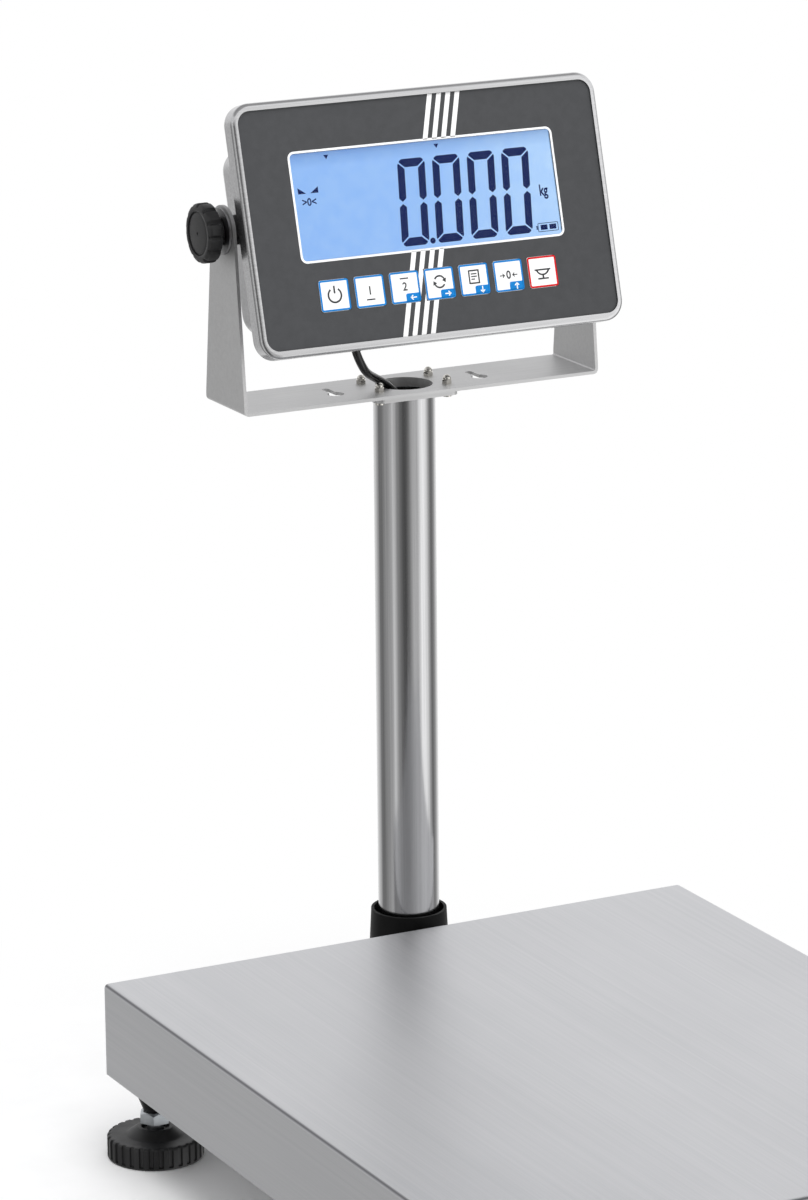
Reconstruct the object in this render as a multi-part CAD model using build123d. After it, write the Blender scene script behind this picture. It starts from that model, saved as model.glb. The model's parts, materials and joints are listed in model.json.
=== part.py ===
from build123d import *

import os
from math import cos, pi, radians, sin, sqrt, tan

# Bench scale: a stainless weighing pan on a load-cell frame with four levelling
# feet, and a display head that tilts in a U-shaped bracket on a column.
# Millimetres. +X right, +Y to the back, +Z up. The origin is on the floor, in the
# middle of the whole object's outline.

# ---------------------------------------------------------------- driving sizes
# Fits
RUNNING_FIT = 0.05          # radial play of a screw or pin that turns
PART_GAP = 0.3              # air between pieces that move past each other
SCREW_PLAY = 0.2            # radial play of a screw in its through hole
FILM_PLAY = 0.1             # all round the face films in their recesses

# Weighing pan
PAN_WIDTH = 400.0
PAN_DEPTH = 500.0
PAN_SKIRT = 57.4
PAN_SHEET = 1.5
PAN_BEND = 3.0
PAN_TOP_HEIGHT = 106.0

# Levelling feet
FOOT_INSET = 22.5
PAD_DIAMETER = 58.7
PAD_RIM_HEIGHT = 13.6
PAD_RIB_COUNT = 30
PAD_GROOVE_WIDTH = 2.0
PAD_GROOVE_DEPTH = 1.2
PAD_GROOVE_START = 1.0
PAD_CHAMFER = 0.8
HUB_BASE_RADIUS = 17.5
HUB_TOP_RADIUS = 10.5
HUB_HEIGHT = 5.0
HUB_RECESS_RADIUS = 8.5
HUB_RECESS_DEPTH = 2.5
STUD_DIAMETER = 10.0
STUD_HEX = 17.0
STUD_HEX_BOTTOM = 21.4
STUD_HEX_HEIGHT = 7.2
STUD_FLOOR = 5.0
STUD_HEADROOM = 4.0          # air over the stud inside the rail

# Base frame
RAIL_WIDTH = 30.0
RAIL_HEIGHT = 20.0
RAIL_WALL = 2.0
RAIL_END_CLEARANCE = 6.0
BRIDGE_WIDTH = 60.0
BRIDGE_THICKNESS = 8.0
BUSH_TIP_RADIUS = 7.0
BUSH_ROOT_RADIUS = 14.8
BUSH_SPIGOT_RADIUS = 8.0

# Load cell and upper frame
CELL_LENGTH = 150.0
CELL_WIDTH = 38.0
CELL_HEIGHT = 25.0
CELL_END = 35.0
CELL_WEB_HOLE = 15.0
CELL_WEB_SLOT = 4.0
CELL_CHAMFER = 0.8
CELL_SCREW_GRIP = 15.0      # depth of the threaded holes in the cell
SPACER_THICKNESS = 4.0
CELL_SCREW_DIAMETER = 6.0
CELL_SCREW_PITCH = 19.0
SCREW_HEAD_HEX = 10.0       # heads of the M6 hexagon screws
SCREW_HEAD_HEIGHT = 4.0
SCREW_TIP_GAP = 1.0         # air past a screw's end in a blind hole
FLAT_HEAD_RADIUS = 5.0
UPPER_BAR_WIDTH = 20.0
UPPER_BAR_HEIGHT = 12.0
UPPER_BAR_END = 35.0
UPPER_BAR_INSET = 15.5
UPPER_PLATE_WIDTH = 60.0
UPPER_TUBE_WALL = 2.0
BUFFER_RADIUS = 8.0
BUFFER_INSET = 20.0
STOP_DIAMETER = 6.0
STOP_GAP = 0.8
STOP_INSET = 30.0
STOP_FROM_EDGE = 7.0        # from the rail's inner face
STOP_NUT_HEIGHT = 5.0

# Column
COLUMN_OFFSET_X = 22.7
COLUMN_SETBACK = 30.0
COLUMN_DIAMETER = 38.0
COLUMN_WALL = 1.5
SOCKET_BASE_RADIUS = 27.0
SOCKET_TOP_RADIUS = 23.6
SOCKET_RISE = 4.0
SOCKET_FLOOR = 5.0
SOCKET_GRIP = 36.0
SOCKET_LIP = 1.8
BRACKET_PLATE = 5.0
BRACKET_DROP = 5.0
BRACKET_SIDE = 3.0
BRACKET_SIDE_DEPTH = 9.0
BRACKET_BOLT_X = 18.0
BRACKET_BOLT_Y = 8.0
SOCKET_SCREW_DIAMETER = 5.0
SOCKET_SCREW_HEX = 8.0
SOCKET_SCREW_HEAD = 3.5
SOCKET_SCREW_GRIP = 16.0
SOCKET_SCREW_BORE = 20.0    # depth of the hole in the socket's foot
CABLE_SLOT_WIDTH = 16.0
CABLE_SLOT_REACH = 22.0
FLANGE_WIDTH = 56.0
FLANGE_DEPTH = 40.0
FLANGE_THICKNESS = 4.0
FLANGE_CORNER = 5.0

# Head bracket
STRIP_TOP_HEIGHT = 445.1
STRIP_WIDTH = 240.4
STRIP_DEPTH = 53.5
STRIP_SHEET = 2.0
STRIP_BEND = 3.0
UPRIGHT_TOP_RADIUS = 15.6
PIVOT_RISE = 106.0
KEYHOLE_SPREAD = 98.0
KEYHOLE_HEAD_RADIUS = 5.2
KEYHOLE_HEAD_FORWARD = 5.5   # in front of the strip's middle
KEYHOLE_SLOT_WIDTH = 4.4
KEYHOLE_SLOT_LENGTH = 14.0
CAP_NUT_SPREAD_X = 46.0
CAP_NUT_SPREAD_Y = 24.8
CAP_NUT_HEX = 5.5
CAP_NUT_HEIGHT = 5.6
CAP_NUT_SCREW = 3.0
SMALL_HEAD_RADIUS = 2.8     # pan heads of the M3 screws
SMALL_HEAD_HEIGHT = 2.0

# Display head, in its own frame: U right, V up the face, W out of the face, with
# its origin on the tilt axis
HEAD_TILT = 15.87
FACE_OUT = 36.6
FACE_DROP = 5.1
OVERLAY_WIDTH = 236.4
OVERLAY_HEIGHT = 142.6
OVERLAY_CORNER = 8.0
OVERLAY_THICKNESS = 1.2
RIM_WIDTH = 4.7
RIM_WIDTH_SIDE = 3.8
RIM_PROUD = 1.2
FRONT_DEPTH = 11.2
FRONT_EDGE = 2.6
HEAD_SHEET = 1.2
LEDGE_WIDTH = 7.0
LEDGE_THICKNESS = 1.5
GASKET_THICKNESS = 1.5
REAR_INSET = 6.2
REAR_HEIGHT = 113.0
REAR_DROP = 3.5
REAR_REACH = 46.0
REAR_CORNER = 14.0
REAR_EDGE = 5.0
SHELL_SCREW_DIAMETER = 3.0
SHELL_SCREW_FROM_CORNER = 6.0
GASKET_SIDE_PLAY = 0.5
WINDOW_WIDTH = 176.0
WINDOW_HEIGHT = 65.3
WINDOW_RISE = 11.65
WINDOW_CORNER = 4.0
LCD_MARGIN = 1.0
LCD_THICKNESS = 1.6
BACKLIGHT_MARGIN = 2.0
BACKLIGHT_THICKNESS = 2.3
BOARD_THICKNESS = 1.6
BOARD_SIDE_GAP = 11.2       # board's edge inside the face film's edge
BOARD_END_GAP = 9.3
BOARD_SCREW_RADIUS = 1.5
BOARD_SCREW_INSET = 6.0
BOARD_SCREW_GRIP = 2.4
BOARD_HEAD_RADIUS = 2.6
BOARD_HEAD_HEIGHT = 1.8
BOARD_POST_RADIUS = 3.0
KEY_COUNT = 7
KEY_WIDTH = 19.4
KEY_HEIGHT = 18.6
KEY_PITCH = 23.32
KEY_DROP = 41.95
KEY_CORNER = 1.5
KEY_CAP = 0.6
KEY_PROUD = 0.3
KEY_TRAVEL = 0.5
KEY_STEM_RADIUS = 3.0
KEY_STEM_CLEARANCE = 1.0
SWITCH_SIZE = 6.0
SWITCH_BODY = 1.2
BATTERY_DIAMETER = 14.0
BATTERY_LENGTH = 50.0
BATTERY_COUNT = 6
BATTERY_GAP = 0.4
BATTERY_TRAY = 1.5
BATTERY_LIFT = 16.0         # above the middle of the rear shell
INLET_RADIUS = 5.5
INLET_LENGTH = 14.0
INLET_FLANGE = 1.5
INLET_BORE_RADIUS = 3.2
INLET_BORE_DEPTH = 9.5
INLET_PIN_RADIUS = 1.0
INLET_PIN_BACK = 0.5        # how far the pin ends inside the mouth
GLAND_ACROSS = -46.5
GLAND_BODY_RADIUS = 7.0
GLAND_THREAD_RADIUS = 5.25
GLAND_THREAD_LENGTH = 6.0
GLAND_NUT_RADIUS = 8.0
GLAND_NUT_THICKNESS = 3.0
GLAND_LENGTH = 5.0
GLAND_OUT = 5.0
CABLE_DIAMETER = 5.2
CABLE_BEND = 18.0           # bend radius where the cable leaves the column

# Tilt pivots: a clamping knob on the left and a button-head screw on the right
PIVOT_STUD_DIAMETER = 8.0
BUSH_BARREL_RADIUS = 6.0
BUSH_DEPTH = 12.0
BUSH_PROUD = 1.0
SPACER_RADIUS = 9.0
PIVOT_STUD_REACH = 14.0     # how far studs go in from the rear shell's side
KNOB_WASHER_RADIUS = 14.0
KNOB_WASHER_THICKNESS = 1.4
KNOB_NECK_RADIUS = 8.65
KNOB_NECK_LENGTH = 5.2
KNOB_RADIUS = 18.0
KNOB_THICKNESS = 9.0
KNOB_GROOVES = 12
KNOB_GROOVE_RADIUS = 1.6
KNOB_DISC_RADIUS = 12.5
KNOB_DISC_GROOVE = 0.8
KNOB_EDGE = 2.0
BUTTON_HEAD_RADIUS = 7.0
BUTTON_HEAD_HEIGHT = 4.4
BUTTON_SOCKET_HEX = 5.0
BUTTON_SOCKET_DEPTH = 2.6

# ------------------------------------------------------------------ worked out
PAD_RADIUS = PAD_DIAMETER / 2
STUD_RADIUS = STUD_DIAMETER / 2
PAD_OVERHANG = PAD_RADIUS - FOOT_INSET
REAR_OVERHANG = COLUMN_SETBACK + max(SOCKET_BASE_RADIUS, STRIP_DEPTH / 2)
PAN_BACK = (PAN_DEPTH + PAD_OVERHANG - REAR_OVERHANG) / 2
PAN_MIDDLE = PAN_BACK - PAN_DEPTH / 2
COLUMN_Y = PAN_BACK + COLUMN_SETBACK
COLUMN_RADIUS = COLUMN_DIAMETER / 2
FOOT_X = PAN_WIDTH / 2 - FOOT_INSET
FOOT_Y = PAN_DEPTH / 2 - FOOT_INSET
FOOT_PLACES = [
    (side * FOOT_X, PAN_MIDDLE + end * FOOT_Y) for end in (-1, 1) for side in (-1, 1)
]
RAIL_BOTTOM = PAN_TOP_HEIGHT - PAN_SKIRT
RAIL_TOP = RAIL_BOTTOM + RAIL_HEIGHT
RAIL_LENGTH = PAN_WIDTH - 2 * (PAN_SHEET + RAIL_END_CLEARANCE)
HUB_TOP = PAD_RIM_HEIGHT + HUB_HEIGHT
STUD_HEX_TOP = STUD_HEX_BOTTOM + STUD_HEX_HEIGHT
STUD_TOP = RAIL_TOP - RAIL_WALL - STUD_HEADROOM

CELL_BOTTOM = RAIL_BOTTOM + BRIDGE_THICKNESS + SPACER_THICKNESS
CELL_TOP = CELL_BOTTOM + CELL_HEIGHT
FIXED_END_X = -(CELL_LENGTH - CELL_END) / 2
LIVE_END_X = (CELL_LENGTH - CELL_END) / 2
UPPER_BOTTOM = CELL_TOP + SPACER_THICKNESS
UPPER_TOP = UPPER_BOTTOM + UPPER_BAR_HEIGHT
PAN_UNDERSIDE = PAN_TOP_HEIGHT - PAN_SHEET
UPPER_BAR_LENGTH = PAN_WIDTH - 2 * UPPER_BAR_END
UPPER_BAR_Y = FOOT_Y - UPPER_BAR_INSET

BRACKET_TOP = RAIL_BOTTOM - BRACKET_DROP
BRACKET_BOTTOM = BRACKET_TOP - BRACKET_PLATE
SOCKET_TOP = PAN_TOP_HEIGHT + SOCKET_RISE
TUBE_BOTTOM = BRACKET_TOP + SOCKET_FLOOR
STRIP_BOTTOM = STRIP_TOP_HEIGHT - STRIP_SHEET
TUBE_TOP = STRIP_BOTTOM - FLANGE_THICKNESS
TUBE_BORE = COLUMN_RADIUS - COLUMN_WALL
STRIP_HOLE_RADIUS = TUBE_BORE
PIVOT_HEIGHT = STRIP_TOP_HEIGHT + PIVOT_RISE
UPRIGHT_OUT = STRIP_WIDTH / 2
UPRIGHT_IN = UPRIGHT_OUT - STRIP_SHEET

HEAD = Plane(
    origin=(COLUMN_OFFSET_X, COLUMN_Y, PIVOT_HEIGHT),
    x_dir=(1, 0, 0),
    z_dir=(0, -cos(radians(HEAD_TILT)), sin(radians(HEAD_TILT))),
)
RECESS_FLOOR = FACE_OUT - OVERLAY_THICKNESS
FRONT_PLATE_BACK = RECESS_FLOOR - HEAD_SHEET
RIM_FRONT = FACE_OUT + RIM_PROUD
SHELL_BACK = RIM_FRONT - FRONT_DEPTH
FRONT_WIDTH = OVERLAY_WIDTH + 2 * RIM_WIDTH_SIDE
FRONT_HEIGHT = OVERLAY_HEIGHT + 2 * RIM_WIDTH
FRONT_CORNER = OVERLAY_CORNER + RIM_WIDTH
REAR_WIDTH = OVERLAY_WIDTH - 2 * REAR_INSET
BOARD_WIDTH = OVERLAY_WIDTH - 2 * BOARD_SIDE_GAP
BOARD_HEIGHT = OVERLAY_HEIGHT - 2 * BOARD_END_GAP
REAR_FLANGE_FRONT = SHELL_BACK + HEAD_SHEET
LEDGE_BACK = REAR_FLANGE_FRONT + GASKET_THICKNESS
REAR_BACK = FACE_OUT - REAR_REACH
REAR_MIDDLE = -FACE_DROP - REAR_DROP
REAR_BOTTOM = REAR_MIDDLE - REAR_HEIGHT / 2
WINDOW_MIDDLE = -FACE_DROP + WINDOW_RISE
LCD_FRONT = RECESS_FLOOR - PART_GAP
LCD_BACK = LCD_FRONT - LCD_THICKNESS
BOARD_FRONT = LCD_BACK - BACKLIGHT_THICKNESS
BOARD_BACK = BOARD_FRONT - BOARD_THICKNESS
KEY_ROW = -FACE_DROP - KEY_DROP
KEY_FRONT = FACE_OUT + KEY_PROUD
KEY_BACK = KEY_FRONT - KEY_CAP
KEY_PLACES = [(number - (KEY_COUNT - 1) / 2) * KEY_PITCH for number in range(KEY_COUNT)]
SWITCH_TOP = BOARD_FRONT + SWITCH_BODY
BUSH_FACE = REAR_WIDTH / 2 + BUSH_PROUD
KNOB_WASHER_IN = UPRIGHT_OUT + PART_GAP
KNOB_WASHER_OUT = KNOB_WASHER_IN + KNOB_WASHER_THICKNESS
KNOB_IN = KNOB_WASHER_OUT + PART_GAP
KNOB_HEAD_IN = KNOB_IN + KNOB_NECK_LENGTH
KNOB_OUT = KNOB_HEAD_IN + KNOB_THICKNESS
CABLE_RADIUS = CABLE_DIAMETER / 2
GLAND_MOUTH = REAR_BOTTOM - GLAND_LENGTH
BATTERY_FLOOR = REAR_BACK + HEAD_SHEET
BATTERY_MIDDLE = REAR_MIDDLE + BATTERY_LIFT
BATTERY_PITCH = BATTERY_DIAMETER + BATTERY_GAP
STUD_END = REAR_WIDTH / 2 - PIVOT_STUD_REACH


# --------------------------------------------------------------------- helpers
def block(width, depth, height, x=0, y=0, bottom=0):
    """A box given by its middle in plan and the height of its underside."""
    return Pos(x, y, bottom + height / 2) * Box(width, depth, height)


def rod(radius, height, x=0, y=0, bottom=0):
    """An upright cylinder given by the height of its underside."""
    return Pos(x, y, bottom + height / 2) * Cylinder(radius, height)


def hexagon_bar(across_flats, height, x=0, y=0, bottom=0):
    """A hexagonal bar with chamfered corners on its top, as on a nut or bolt head."""
    bar = extrude(RegularPolygon(across_flats / 2, 6, major_radius=False), height)
    cap_cone = Cone(across_flats / 2 + height * 1.2, across_flats / 2 * 0.94, height * 1.2)
    bar = bar & Pos(0, 0, height - height * 0.6) * cap_cone
    return Pos(x, y, bottom) * bar


def plate(width, height, corner, back, front, middle=0):
    """A rounded plate in the head's own frame, between two depths W."""
    outline = RectangleRounded(width, height, corner)
    return Pos(0, middle, back) * extrude(outline, front - back)


def side_rod(radius, inner, outer, side):
    """A cylinder along X in the head's frame, on the tilt axis, on one side."""
    return Pos(side * (inner + outer) / 2, 0, 0) * Rot(0, 90, 0) * Cylinder(radius, outer - inner)


def side_ring(radius, bore, inner, outer, side):
    """A washer along X in the head's frame, on the tilt axis, on one side."""
    return side_rod(radius, inner, outer, side) - side_rod(bore, inner, outer, side)


def on_head(shape):
    """Place a shape made in the head's own frame."""
    return HEAD * shape


def tube_along(points, radii, diameter):
    """A round cord along straight runs joined by tangent arcs."""
    path = FilletPolyline(*points, radius=radii)
    start = Plane(origin=path @ 0, z_dir=path % 0)
    cord = sweep(start * Circle(diameter / 2), path=path)
    share = cord.volume / (pi * (diameter / 2) ** 2 * path.length)
    print("cord length", round(path.length, 1), "volume", round(share, 4))
    return cord


def arc_radii(points):
    """The largest arcs that the runs beside each corner leave room for."""
    radii = []
    for before, corner, after in zip(points, points[1:], points[2:]):
        run_in = Vector(*corner) - Vector(*before)
        run_out = Vector(*after) - Vector(*corner)
        turn = radians(run_in.get_angle(run_out))
        radii.append(0.45 * min(run_in.length, run_out.length) / tan(turn / 2))
    print("arc radii", [round(radius, 1) for radius in radii])
    return radii


# -------------------------------------------------------------------- platform
def weighing_pan():
    outer = block(PAN_WIDTH, PAN_DEPTH, PAN_SKIRT, 0, PAN_MIDDLE, RAIL_BOTTOM)
    outer = fillet(outer.edges().filter_by(Axis.Z), PAN_BEND)
    outer = fillet(outer.edges().group_by(Axis.Z)[-1], PAN_BEND)
    inside_width = PAN_WIDTH - 2 * PAN_SHEET
    inside_depth = PAN_DEPTH - 2 * PAN_SHEET
    inner = block(inside_width, inside_depth, PAN_SKIRT - PAN_SHEET, 0, PAN_MIDDLE, RAIL_BOTTOM)
    inner = fillet(inner.edges().filter_by(Axis.Z), PAN_BEND - PAN_SHEET)
    inner = fillet(inner.edges().group_by(Axis.Z)[-1], PAN_BEND - PAN_SHEET)
    return outer - inner


def foot_pad(x, y):
    pad = rod(PAD_RADIUS, PAD_RIM_HEIGHT)
    pad = chamfer(pad.edges().group_by(Axis.Z)[-1], PAD_CHAMFER)
    groove_size = (2 * PAD_GROOVE_DEPTH, PAD_GROOVE_WIDTH, PAD_RIM_HEIGHT - PAD_GROOVE_START)
    grooves = [
        Rot(0, 0, 360 / PAD_RIB_COUNT * number)
        * block(*groove_size, PAD_RADIUS, 0, PAD_GROOVE_START)
        for number in range(PAD_RIB_COUNT)
    ]
    pad = pad - grooves
    hub = Cone(HUB_BASE_RADIUS, HUB_TOP_RADIUS, HUB_HEIGHT)
    hub = Pos(0, 0, PAD_RIM_HEIGHT + HUB_HEIGHT / 2) * hub
    recess = rod(HUB_RECESS_RADIUS, HUB_RECESS_DEPTH, bottom=HUB_TOP - HUB_RECESS_DEPTH)
    bore = rod(STUD_RADIUS + RUNNING_FIT, HUB_TOP - STUD_FLOOR, bottom=STUD_FLOOR)
    return Pos(x, y, 0) * (pad + hub - recess - bore)


def foot_stud(x, y):
    shank_bottom = STUD_FLOOR + RUNNING_FIT
    stud = rod(STUD_RADIUS, STUD_TOP - shank_bottom, bottom=shank_bottom)
    stud = chamfer(stud.edges().group_by(Axis.Z)[-1], 1.0)
    stud = stud + hexagon_bar(STUD_HEX, STUD_HEX_HEIGHT, bottom=STUD_HEX_BOTTOM)
    return Pos(x, y, 0) * stud


def foot_bush(x, y):
    """Black threaded bush welded up through the rail's lower wall."""
    length = RAIL_BOTTOM - STUD_HEX_TOP - PART_GAP
    bush = Pos(0, 0, RAIL_BOTTOM - length / 2) * Cone(BUSH_TIP_RADIUS, BUSH_ROOT_RADIUS, length)
    bush = bush + rod(BUSH_SPIGOT_RADIUS, RAIL_HEIGHT - RAIL_WALL, bottom=RAIL_BOTTOM)
    bore_height = RAIL_TOP - RAIL_WALL - STUD_HEX_TOP
    bore = rod(STUD_RADIUS + RUNNING_FIT, bore_height, bottom=STUD_HEX_TOP)
    return Pos(x, y, 0) * (bush - bore)


def base_frame():
    """Two square-cut steel rails joined by the plate that carries the load cell."""
    frame = []
    for end in (-1, 1):
        y = PAN_MIDDLE + end * FOOT_Y
        rail = block(RAIL_LENGTH, RAIL_WIDTH, RAIL_HEIGHT, 0, y, RAIL_BOTTOM)
        rail = fillet(rail.edges().filter_by(Axis.X), RAIL_WALL)
        hollow_width = RAIL_WIDTH - 2 * RAIL_WALL
        hollow_height = RAIL_HEIGHT - 2 * RAIL_WALL
        hollow = block(RAIL_LENGTH, hollow_width, hollow_height, 0, y, RAIL_BOTTOM + RAIL_WALL)
        frame.append(rail - hollow)
    bridge_length = 2 * FOOT_Y - RAIL_WIDTH + 2 * RAIL_WALL
    bridge_size = (BRIDGE_WIDTH, bridge_length, BRIDGE_THICKNESS)
    bridge = block(*bridge_size, FIXED_END_X, PAN_MIDDLE, RAIL_BOTTOM)
    whole = frame[0] + frame[1] + bridge
    for x, y in FOOT_PLACES:
        whole = whole - rod(BUSH_SPIGOT_RADIUS, RAIL_WALL, x, y, RAIL_BOTTOM)
    loose_hole = CELL_SCREW_DIAMETER / 2 + SCREW_PLAY
    for x, y in cell_screw_places(FIXED_END_X):
        whole = whole - rod(loose_hole, BRIDGE_THICKNESS, x, y, RAIL_BOTTOM)
    for x, y in stop_places():
        whole = whole - rod(STOP_DIAMETER / 2, RAIL_WALL, x, y, RAIL_TOP - RAIL_WALL)
    for x, y in bracket_bolt_places():
        whole = whole - rod(CELL_SCREW_DIAMETER / 2, RAIL_WALL, x, y, RAIL_BOTTOM)
    return whole


def cell_screw_places(middle_x):
    half = CELL_SCREW_PITCH / 2
    return [(middle_x + a * half, PAN_MIDDLE + b * half) for a in (-1, 1) for b in (-1, 1)]


def load_cell():
    """Single-point aluminium cell: a bar with a binocular cut-out between its ends."""
    bar = block(CELL_LENGTH, CELL_WIDTH, CELL_HEIGHT, 0, PAN_MIDDLE, CELL_BOTTOM)
    bar = chamfer(bar.edges().filter_by(Axis.X), CELL_CHAMFER)
    middle = CELL_BOTTOM + CELL_HEIGHT / 2
    hole_radius = CELL_WEB_HOLE / 2
    reach = CELL_LENGTH / 2 - CELL_END - hole_radius
    across = Rot(90, 0, 0) * Cylinder(hole_radius, CELL_WIDTH)
    for side in (-1, 1):
        bar = bar - Pos(side * reach, PAN_MIDDLE, middle) * across
    slot_bottom = middle - CELL_WEB_SLOT / 2
    bar = bar - block(2 * reach, CELL_WIDTH, CELL_WEB_SLOT, 0, PAN_MIDDLE, slot_bottom)
    depth = CELL_SCREW_GRIP
    for x, y in cell_screw_places(FIXED_END_X):
        bar = bar - rod(CELL_SCREW_DIAMETER / 2, depth, x, y, CELL_BOTTOM)
    for x, y in cell_screw_places(LIVE_END_X):
        bar = bar - rod(CELL_SCREW_DIAMETER / 2, depth, x, y, CELL_TOP - depth)
    return bar


def cell_spacer(middle_x, bottom):
    spacer = block(CELL_END, CELL_WIDTH, SPACER_THICKNESS, middle_x, PAN_MIDDLE, bottom)
    loose_hole = CELL_SCREW_DIAMETER / 2 + SCREW_PLAY
    for x, y in cell_screw_places(middle_x):
        spacer = spacer - rod(loose_hole, SPACER_THICKNESS, x, y, bottom)
    return spacer


def screw_up(diameter, head_hex, head_height, head_top, length, x, y):
    """A hex screw that goes up from below, with its head under the height given."""
    head = hexagon_bar(head_hex, head_height, x, y, head_top - head_height)
    return head + rod(diameter / 2, length, x, y, head_top)


def m6_screw(head_top, length, x, y):
    return screw_up(CELL_SCREW_DIAMETER, SCREW_HEAD_HEX, SCREW_HEAD_HEIGHT, head_top, length, x, y)


def lower_cell_screws():
    length = BRIDGE_THICKNESS + SPACER_THICKNESS + CELL_SCREW_GRIP - SCREW_TIP_GAP
    return [m6_screw(RAIL_BOTTOM, length, x, y) for x, y in cell_screw_places(FIXED_END_X)]


def upper_cell_screws():
    """Flat-headed screws down through the floor of the upper frame's channel."""
    length = UPPER_TUBE_WALL + SPACER_THICKNESS + CELL_SCREW_GRIP - SCREW_TIP_GAP
    seat = UPPER_BOTTOM + UPPER_TUBE_WALL
    screw = rod(FLAT_HEAD_RADIUS, SCREW_HEAD_HEIGHT, bottom=seat)
    screw = screw + rod(CELL_SCREW_DIAMETER / 2, length, bottom=seat - length)
    return [Pos(x, y, 0) * screw for x, y in cell_screw_places(LIVE_END_X)]


def upper_frame():
    """Two flat tubes under the pan, welded to a channel over the cell's live end."""
    wall = UPPER_TUBE_WALL
    floor_top = UPPER_BOTTOM + wall
    bars = []
    for end in (-1, 1):
        y = PAN_MIDDLE + end * UPPER_BAR_Y
        bar = block(UPPER_BAR_LENGTH, UPPER_BAR_WIDTH, UPPER_BAR_HEIGHT, 0, y, UPPER_BOTTOM)
        hollow_size = (UPPER_BAR_LENGTH, UPPER_BAR_WIDTH - 2 * wall, UPPER_BAR_HEIGHT - 2 * wall)
        bars.append(bar - block(*hollow_size, 0, y, floor_top))
    length = 2 * UPPER_BAR_Y - UPPER_BAR_WIDTH + 2 * wall
    channel_size = (UPPER_PLATE_WIDTH, length, UPPER_BAR_HEIGHT)
    channel = block(*channel_size, LIVE_END_X, PAN_MIDDLE, UPPER_BOTTOM)
    trough_size = (UPPER_PLATE_WIDTH - 2 * wall, length - 2 * wall, UPPER_BAR_HEIGHT - wall)
    channel = channel - block(*trough_size, LIVE_END_X, PAN_MIDDLE, floor_top)
    whole = bars[0] + bars[1] + channel
    for x, y in cell_screw_places(LIVE_END_X):
        whole = whole - rod(CELL_SCREW_DIAMETER / 2 + SCREW_PLAY, wall, x, y, UPPER_BOTTOM)
    for x, y in buffer_places():
        whole = whole - rod(BUFFER_RADIUS / 2, wall, x, y, UPPER_TOP - wall)
    return whole


def buffer_places():
    reach = UPPER_BAR_LENGTH / 2 - BUFFER_INSET
    return [(a * reach, PAN_MIDDLE + b * UPPER_BAR_Y) for b in (-1, 1) for a in (-1, 1)]


def pan_buffers():
    """Rubber buffers pushed into the upper frame, on which the pan rests."""
    peg = UPPER_TUBE_WALL
    pad = rod(BUFFER_RADIUS, PAN_UNDERSIDE - UPPER_TOP, bottom=UPPER_TOP)
    pad = pad + rod(BUFFER_RADIUS / 2, peg, bottom=UPPER_TOP - peg)
    return [Pos(x, y, 0) * pad for x, y in buffer_places()]


def stop_places():
    reach_x = UPPER_BAR_LENGTH / 2 - STOP_INSET
    reach_y = FOOT_Y - RAIL_WIDTH / 2 + STOP_FROM_EDGE
    return [(a * reach_x, PAN_MIDDLE + b * reach_y) for b in (-1, 1) for a in (-1, 1)]


def overload_stops():
    """Screws that stand up from the rails to just under the upper frame."""
    tip = UPPER_BOTTOM - STOP_GAP
    stops = []
    for x, y in stop_places():
        shank = rod(STOP_DIAMETER / 2, tip - RAIL_TOP + RAIL_WALL, x, y, RAIL_TOP - RAIL_WALL)
        stops.append(shank + hexagon_bar(SCREW_HEAD_HEX, STOP_NUT_HEIGHT, x, y, RAIL_TOP))
    return stops


# ---------------------------------------------------------------------- column
def bracket_bolt_places():
    back_rail = PAN_MIDDLE + FOOT_Y
    return [
        (COLUMN_OFFSET_X + a * BRACKET_BOLT_X, back_rail + b * BRACKET_BOLT_Y)
        for a in (-1, 1)
        for b in (-1, 1)
    ]


def column_bracket():
    """Steel channel bolted under the back rail, which carries the column behind the pan."""
    front = PAN_MIDDLE + FOOT_Y - RAIL_WIDTH / 2
    length = COLUMN_Y - front
    middle = (COLUMN_Y + front) / 2
    width = 2 * SOCKET_BASE_RADIUS
    body = block(width, length, BRACKET_PLATE, COLUMN_OFFSET_X, middle, BRACKET_BOTTOM)
    round_end = rod(SOCKET_BASE_RADIUS, BRACKET_PLATE, COLUMN_OFFSET_X, COLUMN_Y, BRACKET_BOTTOM)
    body = body + round_end
    rail_y = front + RAIL_WIDTH / 2
    body = body + block(width, RAIL_WIDTH, BRACKET_DROP, COLUMN_OFFSET_X, rail_y, BRACKET_TOP)
    for side in (-1, 1):
        x = COLUMN_OFFSET_X + side * (width - BRACKET_SIDE) / 2
        side_bottom = BRACKET_BOTTOM - BRACKET_SIDE_DEPTH
        body = body + block(BRACKET_SIDE, length, BRACKET_SIDE_DEPTH, x, middle, side_bottom)
    body = body - cable_slot(BRACKET_BOTTOM, BRACKET_PLATE)
    bolt_hole = CELL_SCREW_DIAMETER / 2 + SCREW_PLAY
    for x, y in bracket_bolt_places():
        body = body - rod(bolt_hole, BRACKET_PLATE + BRACKET_DROP, x, y, BRACKET_BOTTOM)
    screw_hole = SOCKET_SCREW_DIAMETER / 2 + SCREW_PLAY
    for x, y in socket_screw_places():
        body = body - rod(screw_hole, BRACKET_PLATE, x, y, BRACKET_BOTTOM)
    return body


def cable_slot(bottom, height):
    """The opening that the cable bends through, from the column's middle forwards."""
    radius = CABLE_SLOT_WIDTH / 2
    reach = CABLE_SLOT_REACH - radius
    slot = block(CABLE_SLOT_WIDTH, reach, height, COLUMN_OFFSET_X, COLUMN_Y - reach / 2, bottom)
    slot = slot + rod(radius, height, COLUMN_OFFSET_X, COLUMN_Y, bottom)
    return slot + rod(radius, height, COLUMN_OFFSET_X, COLUMN_Y - reach, bottom)


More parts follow.
